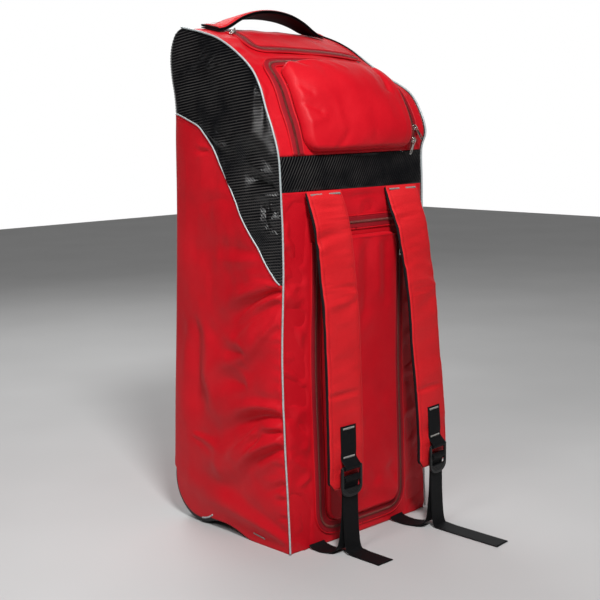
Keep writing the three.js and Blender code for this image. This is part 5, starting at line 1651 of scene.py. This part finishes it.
def lathe(profile, centre, sides=72):
    """A closed turned body about the X axis. The profile holds (radius, x)."""
    profile = np.array(profile, float)
    turn = np.arange(sides) * 2 * math.pi / sides
    points = np.stack([
        np.broadcast_to(profile[:, None, 1], (len(profile), sides)),
        profile[:, None, 0] * np.cos(turn)[None, :],
        profile[:, None, 0] * np.sin(turn)[None, :]], axis=-1) + np.array(centre)
    index = np.arange(len(profile) * sides).reshape(len(profile), sides)
    on = np.roll(index, -1, axis=0)
    quads = np.stack([index, np.roll(index, -1, 1), np.roll(on, -1, 1), on], axis=-1).reshape(-1, 4)
    return points.reshape(-1, 3), [tuple(q) for q in quads]


def housing_outline():
    points = [(HOUSING_FRONT, HOUSING_Z - HOUSING_RADIUS * 0.8)]
    for turn in np.linspace(-math.pi * 0.649, math.pi * 0.05, 40):
        points.append((HOUSING_Y + HOUSING_RADIUS * math.cos(turn), HOUSING_Z + HOUSING_RADIUS * math.sin(turn)))
    points += [
        (HOUSING_Y + HOUSING_RADIUS * 0.97, HOUSING_TOP),
        (HOUSING_Y - HOUSING_RADIUS * 0.2, HOUSING_TOP),
        (HOUSING_FRONT, HOUSING_Z - HOUSING_RADIUS * 0.3),
    ]
    return points


WHEEL_CLEARANCE = 0.004
TREAD_GROOVE = 0.0011
AXLE_RADIUS = 0.004
AXLE_SEAT = 0.004
WHEEL_PLAY = 0.0005
HUB_RIM = 0.007


def make_wheel(hand, label):
    centre = (hand * WHEEL_X, WHEEL_Y + SHIFT_Y, WHEEL_RADIUS)
    rim = WHEEL_RADIUS - TYRE_THICK
    half = WHEEL_WIDTH / 2
    profile = [(rim + GAP, -WHEEL_WIDTH * 0.36)]
    for turn in np.linspace(0, math.pi / 2, 7):
        profile.append((WHEEL_RADIUS - 0.004 + 0.004 * math.sin(turn), -half + 0.0047 * (1 - math.cos(turn))))
    for x in (-0.0055, 0.0, 0.0055):
        profile += [(WHEEL_RADIUS, x - 0.0012), (WHEEL_RADIUS - TREAD_GROOVE, x - 0.0006),
                    (WHEEL_RADIUS - TREAD_GROOVE, x + 0.0006), (WHEEL_RADIUS, x + 0.0012)]
    for turn in np.linspace(math.pi / 2, 0, 7):
        profile.append((WHEEL_RADIUS - 0.004 + 0.004 * math.sin(turn), half - 0.0047 * (1 - math.cos(turn))))
    profile.append((rim + GAP, WHEEL_WIDTH * 0.36))
    points, faces = lathe(profile, centre, 96)
    tyre = mesh_piece(f"tyre_{label}", points, faces, f"wheel_{label}", [mats["rubber"]])
    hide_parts(f"wheel_tyre_{label}")

    bore = AXLE_RADIUS + WHEEL_PLAY
    edge = WHEEL_WIDTH * 0.36
    disc = [
        (bore, -half), (bore + HUB_RIM * 0.8, -half), (bore + HUB_RIM, -half * 0.92), (bore + HUB_RIM, -half * 0.4),
        (rim - 0.006, -half * 0.34), (rim - 0.004, -edge), (rim, -edge), (rim, edge), (rim - 0.004, edge),
        (rim - 0.006, half * 0.34), (bore + HUB_RIM, half * 0.4), (bore + HUB_RIM, half * 0.92),
        (bore + HUB_RIM * 0.8, half), (bore, half),
    ]
    parts = [lathe(disc, centre, 72)]
    for k in range(6):
        turn = k * math.pi / 3
        along = np.array([[0, math.cos(turn), math.sin(turn)]])
        aside = np.array([[1.0, 0, 0]])
        up = np.cross(along, aside)
        middle = np.array([centre]) + along * (bore + HUB_RIM + rim - 0.006) / 2
        parts.append(boxes(middle, along, aside, up, (rim - 0.004 - bore - HUB_RIM * 0.6, half * 1.36, 0.003)))
    points, faces = joined(parts)
    hub = mesh_piece(f"hub_{label}", points, faces, f"wheel_{label}", [mats["plastic"]])
    hub.data.polygons.foreach_set("use_smooth", np.zeros(len(hub.data.polygons), dtype=bool))
    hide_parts(f"wheel_hub_{label}")

    length = HOUSING_WIDTH - AXLE_SEAT * 2
    x = np.linspace(-length / 2, length / 2, 20)
    taper = np.minimum(1, 0.6 + (length / 2 - np.abs(x)) * 400)
    line = np.stack([hand * HOUSING_X + x, x * 0 + centre[1], x * 0 + centre[2]], axis=1)
    points, faces = tube_mesh(line, AXLE_RADIUS * taper, 32, up=(0, 0, 1))
    axle = mesh_piece(f"axle_{label}", points, faces, materials=[mats["nickel"]])
    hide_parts(f"wheel_axle_{label}")

    mesh = rounded_plate(housing_outline(), [], HOUSING_WIDTH, 0.0025)
    mesh.transform(Matrix.Rotation(math.pi / 2, 4, "Z"))
    mesh.transform(Matrix.Translation((hand * HOUSING_X, SHIFT_Y, 0)))
    mesh.materials.clear()
    mesh.materials.append(mats["plastic"])
    housing = bpy.data.objects.new(f"housing_{label}", mesh)
    bpy.context.scene.collection.objects.link(housing)
    reach = WHEEL_RADIUS + WHEEL_CLEARANCE
    wide = (WHEEL_WIDTH + WHEEL_CLEARANCE) / 2
    pocket = [(0.0005, -wide), (reach - 0.002, -wide), (reach, -wide + 0.002), (reach, wide - 0.002),
              (reach - 0.002, wide), (0.0005, wide)]
    points, faces = lathe(pocket, centre, 80)
    cutter = mesh_piece("wheel_cutter", points, faces)
    modifier = housing.modifiers.new("pocket", "BOOLEAN")
    modifier.operation = "DIFFERENCE"
    modifier.solver = "EXACT"
    modifier.object = cutter
    graph = bpy.context.evaluated_depsgraph_get()
    cut = bpy.data.meshes.new_from_object(housing.evaluated_get(graph))
    housing.modifiers.clear()
    housing.data = cut
    bpy.data.objects.remove(cutter)
    cut.polygons.foreach_set("use_smooth", np.zeros(len(cut.polygons), dtype=bool))
    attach(housing, "bag")
    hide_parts(f"wheel_housing_{label}")


# Zip sliders and their pulls

# Columns: x and height on the cloth, the way that the pull points from +X towards the top, and how far it leans
# down towards the cloth, in degrees, then the body that the pull moves with.
UPPER_SLIDER_X = UPPER_ZIP_X + ZIP_SPREAD * 0.9
slider_rows = {
    "top_zip": (TOP_ZIP_LEFT * 0.9, TOP_ZIP_END - SLIDER_LENGTH * 0.73, -148, 9, "top_pull"),
    "upper_pocket_zip_a": (UPPER_SLIDER_X, BAND_TOP + PULL_LENGTH * 1.6, -52, 2, "pocket_pull_a"),
    "upper_pocket_zip_b": (UPPER_SLIDER_X, BAND_TOP + PULL_LENGTH * 0.8, -93, 0, "pocket_pull_b"),
    "slot_zip": (SLIDER_LENGTH * 1.1 - SLOT_HALF, SLOT_HEIGHT, 0, 8, "bag"),
    "lower_pocket_zip": (LOWER_ZIP_X, LOWER_TOP - PULL_LENGTH * 0.7, -90, 8, "bag"),
}
BAIL_WIDTH = 0.0026
BAIL_ROOM = 0.003
PULL_BAR = 0.0008


def placed(mesh, matrix, name, body, material, node):
    mesh.transform(matrix)
    mesh.materials.clear()
    mesh.materials.append(material)
    mesh.polygons.foreach_set("use_smooth", np.full(len(mesh.polygons), True))
    piece = bpy.data.objects.new(name, mesh)
    bpy.context.scene.collection.objects.link(piece)
    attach(piece, body)
    if node:
        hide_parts(node)
    return piece


def make_slider(name, row):
    x, height, turn, droop, body = row
    turn = math.radians(turn)
    lift = ZIP_LIFT + ZIP_THICK + GAP * 1.5
    seat = front_point(x, height, lift)
    ahead = front_point(x + math.cos(turn) * 0.001, height + math.sin(turn) * 0.001, lift) - seat
    aside = front_point(x - math.sin(turn) * 0.001, height + math.cos(turn) * 0.001, lift) - seat
    ahead, aside = Vector(ahead).normalized(), Vector(aside)
    up = ahead.cross(aside).normalized()
    aside = up.cross(ahead)
    place = Matrix((ahead, aside, up)).transposed().to_4x4()
    place.translation = Vector(seat) + SHIFT

    upright = Matrix.Rotation(-math.pi / 2, 4, "X")
    half_l, half_w = SLIDER_LENGTH / 2, SLIDER_WIDTH / 2
    outline = [(half_l, 0.6 * half_w), (half_l - 0.002, half_w), (-half_l + 0.004, half_w * 0.8),
               (-half_l, half_w * 0.45), (-half_l, -half_w * 0.45), (-half_l + 0.004, -half_w * 0.8),
               (half_l - 0.002, -half_w), (half_l, -0.6 * half_w)]
    body_mesh = rounded_plate(outline, [], SLIDER_THICK * 0.52, 0.0005)
    body_mesh.transform(Matrix.Translation((0, 0, SLIDER_THICK * 0.72)) @ upright)
    slider = placed(body_mesh, place, f"{name}_glider", "bag", mats["nickel"], f"{name}_slider")

    base = rounded_plate(outline, [], SLIDER_THICK * 0.3, 0.0003)
    base.transform(Matrix.Translation((0, 0, SLIDER_THICK * 0.16)) @ upright)
    placed(base, place, f"{name}_glider_base", "bag", mats["nickel"], None)

    reach = SLIDER_LENGTH * 0.32
    over = SLIDER_THICK + BAIL_ROOM + 0.0007
    arch = [(-reach, SLIDER_THICK * 0.7), (-reach, over - 0.0012), (-reach + 0.001, over), (0, over + 0.0002),
            (reach - 0.001, over), (reach, over - 0.0012), (reach, SLIDER_THICK * 0.7)]
    line = Line([(a, 0, b) for a, b in arch])
    points, faces = tube_mesh(line.at(np.linspace(0, 1, 40)), BAIL_WIDTH * 0.36, 12, up=(0, 1, 0))
    points = np.array([place @ Vector(p) for p in points])
    mesh_piece(f"{name}_bail", points, faces, "bag", [mats["nickel"]])

    pivot = SLIDER_THICK + BAIL_ROOM / 2 + 0.0001
    half = PULL_WIDTH / 2
    plate = [(-PULL_BAR, -half * 0.7), (0.002, -half * 0.9), (PULL_LENGTH * 0.45, -half * 0.62),
             (PULL_LENGTH * 0.62, -half * 0.85), (PULL_LENGTH - 0.002, -half * 0.8), (PULL_LENGTH, -half * 0.4),
             (PULL_LENGTH, half * 0.4), (PULL_LENGTH - 0.002, half * 0.8), (PULL_LENGTH * 0.62, half * 0.85),
             (PULL_LENGTH * 0.45, half * 0.62), (0.002, half * 0.9), (-PULL_BAR, half * 0.7)]
    window = SLIDER_LENGTH * 0.32 + 0.0016 + BAIL_WIDTH
    inside_half = BAIL_WIDTH / 2 + 0.0006
    holes = [rounded_rectangle(PULL_BAR, window, -inside_half, inside_half, 0.001),
             rounded_rectangle(PULL_LENGTH * 0.66, PULL_LENGTH * 0.9, -half * 0.4, half * 0.4, 0.001)]
    pull_mesh = rounded_plate(plate, holes, PULL_THICK, 0.0003)
    pull_mesh.transform(Matrix.Translation((0, 0, pivot)) @ Matrix.Rotation(math.radians(droop), 4, "Y") @ upright)
    placed(pull_mesh, place, f"{name}_tab", body, mats["nickel"], f"{name}_pull")


def make_small_trim():
    """A short run of piping at each wheel's arch and a bar tack at the foot of each side."""
    for hand, label in ((-1, "left"), (1, "right")):
        rim = HOUSING_RADIUS - HOUSING_EDGE
        turn = np.linspace(-math.pi * 0.71, -math.pi * 0.54, 30)
        arc = np.stack([turn * 0, HOUSING_Y + rim * np.cos(turn), HOUSING_Z + rim * np.sin(turn)], axis=1)
        arc[:, 0] = hand * (side_x(hand, arc) + 0.0002)
        points, faces = tube_mesh(arc, 0.0016, 10)
        mesh_piece(f"foot_cord_{label}", world(points), faces, materials=[mats["piping"]])
        row = np.array([(0, -0.061, 0.017), (0, -0.091, 0.013)])
        row[:, 0] = hand * (side_x(hand, row) + 0.0004)
        points, faces = bar_tack(row, np.array([hand, 0, 0.0]), 0.0022)
        mesh_piece(f"foot_tack_{label}", world(points), faces, materials=[mats["thread_grey"]])


make_sides()
make_front()
make_pockets()
for strap_label in straps:
    make_strap(strap_label)
    make_buckle(strap_label)
make_handle()
make_back()
make_base()
for wheel_hand, wheel_label in ((-1, "left"), (1, "right")):
    make_wheel(wheel_hand, wheel_label)
for zip_name, slider_row in slider_rows.items():
    make_slider(zip_name, slider_row)
make_small_trim()


# Camera, lights and floor

CAMERA_PLACE = Vector((-1.5370, -1.6140, 0.7626)) + SHIFT
CAMERA_YAW = -0.76177
CAMERA_PITCH = 0.15428
CAMERA_ROLL = -0.015763
PHOTO_PIXELS = 600
FOCAL_PIXELS = 1188.1
SENSOR = 36.0
BACKDROP_WAY = (0.69, 0.72, 0.0)


def make_camera():
    yaw, pitch, roll = CAMERA_YAW, CAMERA_PITCH, CAMERA_ROLL
    back = Vector((math.sin(yaw) * math.cos(pitch), -math.cos(yaw) * math.cos(pitch), math.sin(pitch)))
    right = (-back).cross(Vector((0, 0, 1))).normalized()
    up = right.cross(-back)
    turned_right = right * math.cos(roll) + up * math.sin(roll)
    turned_up = up * math.cos(roll) - right * math.sin(roll)
    data = bpy.data.cameras.new("camera")
    data.sensor_width = SENSOR
    data.lens = FOCAL_PIXELS / PHOTO_PIXELS * SENSOR
    camera = bpy.data.objects.new("camera", data)
    bpy.context.scene.collection.objects.link(camera)
    matrix = Matrix((turned_right, turned_up, back)).transposed().to_4x4()
    matrix.translation = CAMERA_PLACE
    camera.matrix_world = matrix
    bpy.context.scene.camera = camera


def area_light(name, place, target, size, power, colour=(1, 1, 1)):
    data = bpy.data.lights.new(name, "AREA")
    data.shape = "DISK"
    data.size = size
    data.energy = power
    data.color = colour
    light = bpy.data.objects.new(name, data)
    light.location = place
    light.rotation_euler = (Vector(target) - Vector(place)).to_track_quat("-Z", "Y").to_euler()
    bpy.context.scene.collection.objects.link(light)


def make_studio():
    world_data = bpy.data.worlds.new("studio")
    world_data.use_nodes = True
    tree = world_data.node_tree
    tree.nodes["Background"].inputs["Color"].default_value = (1, 1, 1, 1)
    place = tree.nodes.new("ShaderNodeTexCoord").outputs["Generated"]
    dot = tree.nodes.new("ShaderNodeVectorMath")
    dot.operation = "DOT_PRODUCT"
    tree.links.new(place, dot.inputs[0])
    dot.inputs[1].default_value = BACKDROP_WAY
    lobe = tree.nodes.new("ShaderNodeMapRange")
    lobe.interpolation_type = "SMOOTHSTEP"
    lobe.inputs["From Min"].default_value = 0.55
    lobe.inputs["From Max"].default_value = 0.92
    lobe.inputs["To Min"].default_value = 0.05
    lobe.inputs["To Max"].default_value = 1.0
    tree.links.new(dot.outputs["Value"], lobe.inputs["Value"])
    tree.links.new(lobe.outputs["Result"], tree.nodes["Background"].inputs["Strength"])
    bpy.context.scene.world = world_data
    bpy.context.scene.view_settings.view_transform = "Standard"
    area_light("key", (-1.10, -1.60, 2.45), (0, 0, 0.75), 0.5, 72)
    area_light("fill", (-2.0, -0.4, 2.0), (0, 0, 0.7), 0.8, 15)
    area_light("rim", (0.6, 2.2, 2.2), (0, 0, 0.6), 1.4, 30)
    size = 6.0
    corners = [(-size, -size, 0), (size, -size, 0), (size, size, 0), (-size, size, 0)]
    mesh = bpy.data.meshes.new("floor")
    mesh.from_pydata(corners, [], [(0, 1, 2, 3)])
    floor = bpy.data.objects.new("floor", mesh)
    n = Nodes("floor", 0.6, 0.2)
    n.colour(n.ramp(n.noise(2.0), [(0.3, (0.53, 0.53, 0.53)), (0.7, (0.57, 0.57, 0.57))]))
    mesh.materials.append(n.material)
    bpy.context.scene.collection.objects.link(floor)


make_camera()
make_studio()
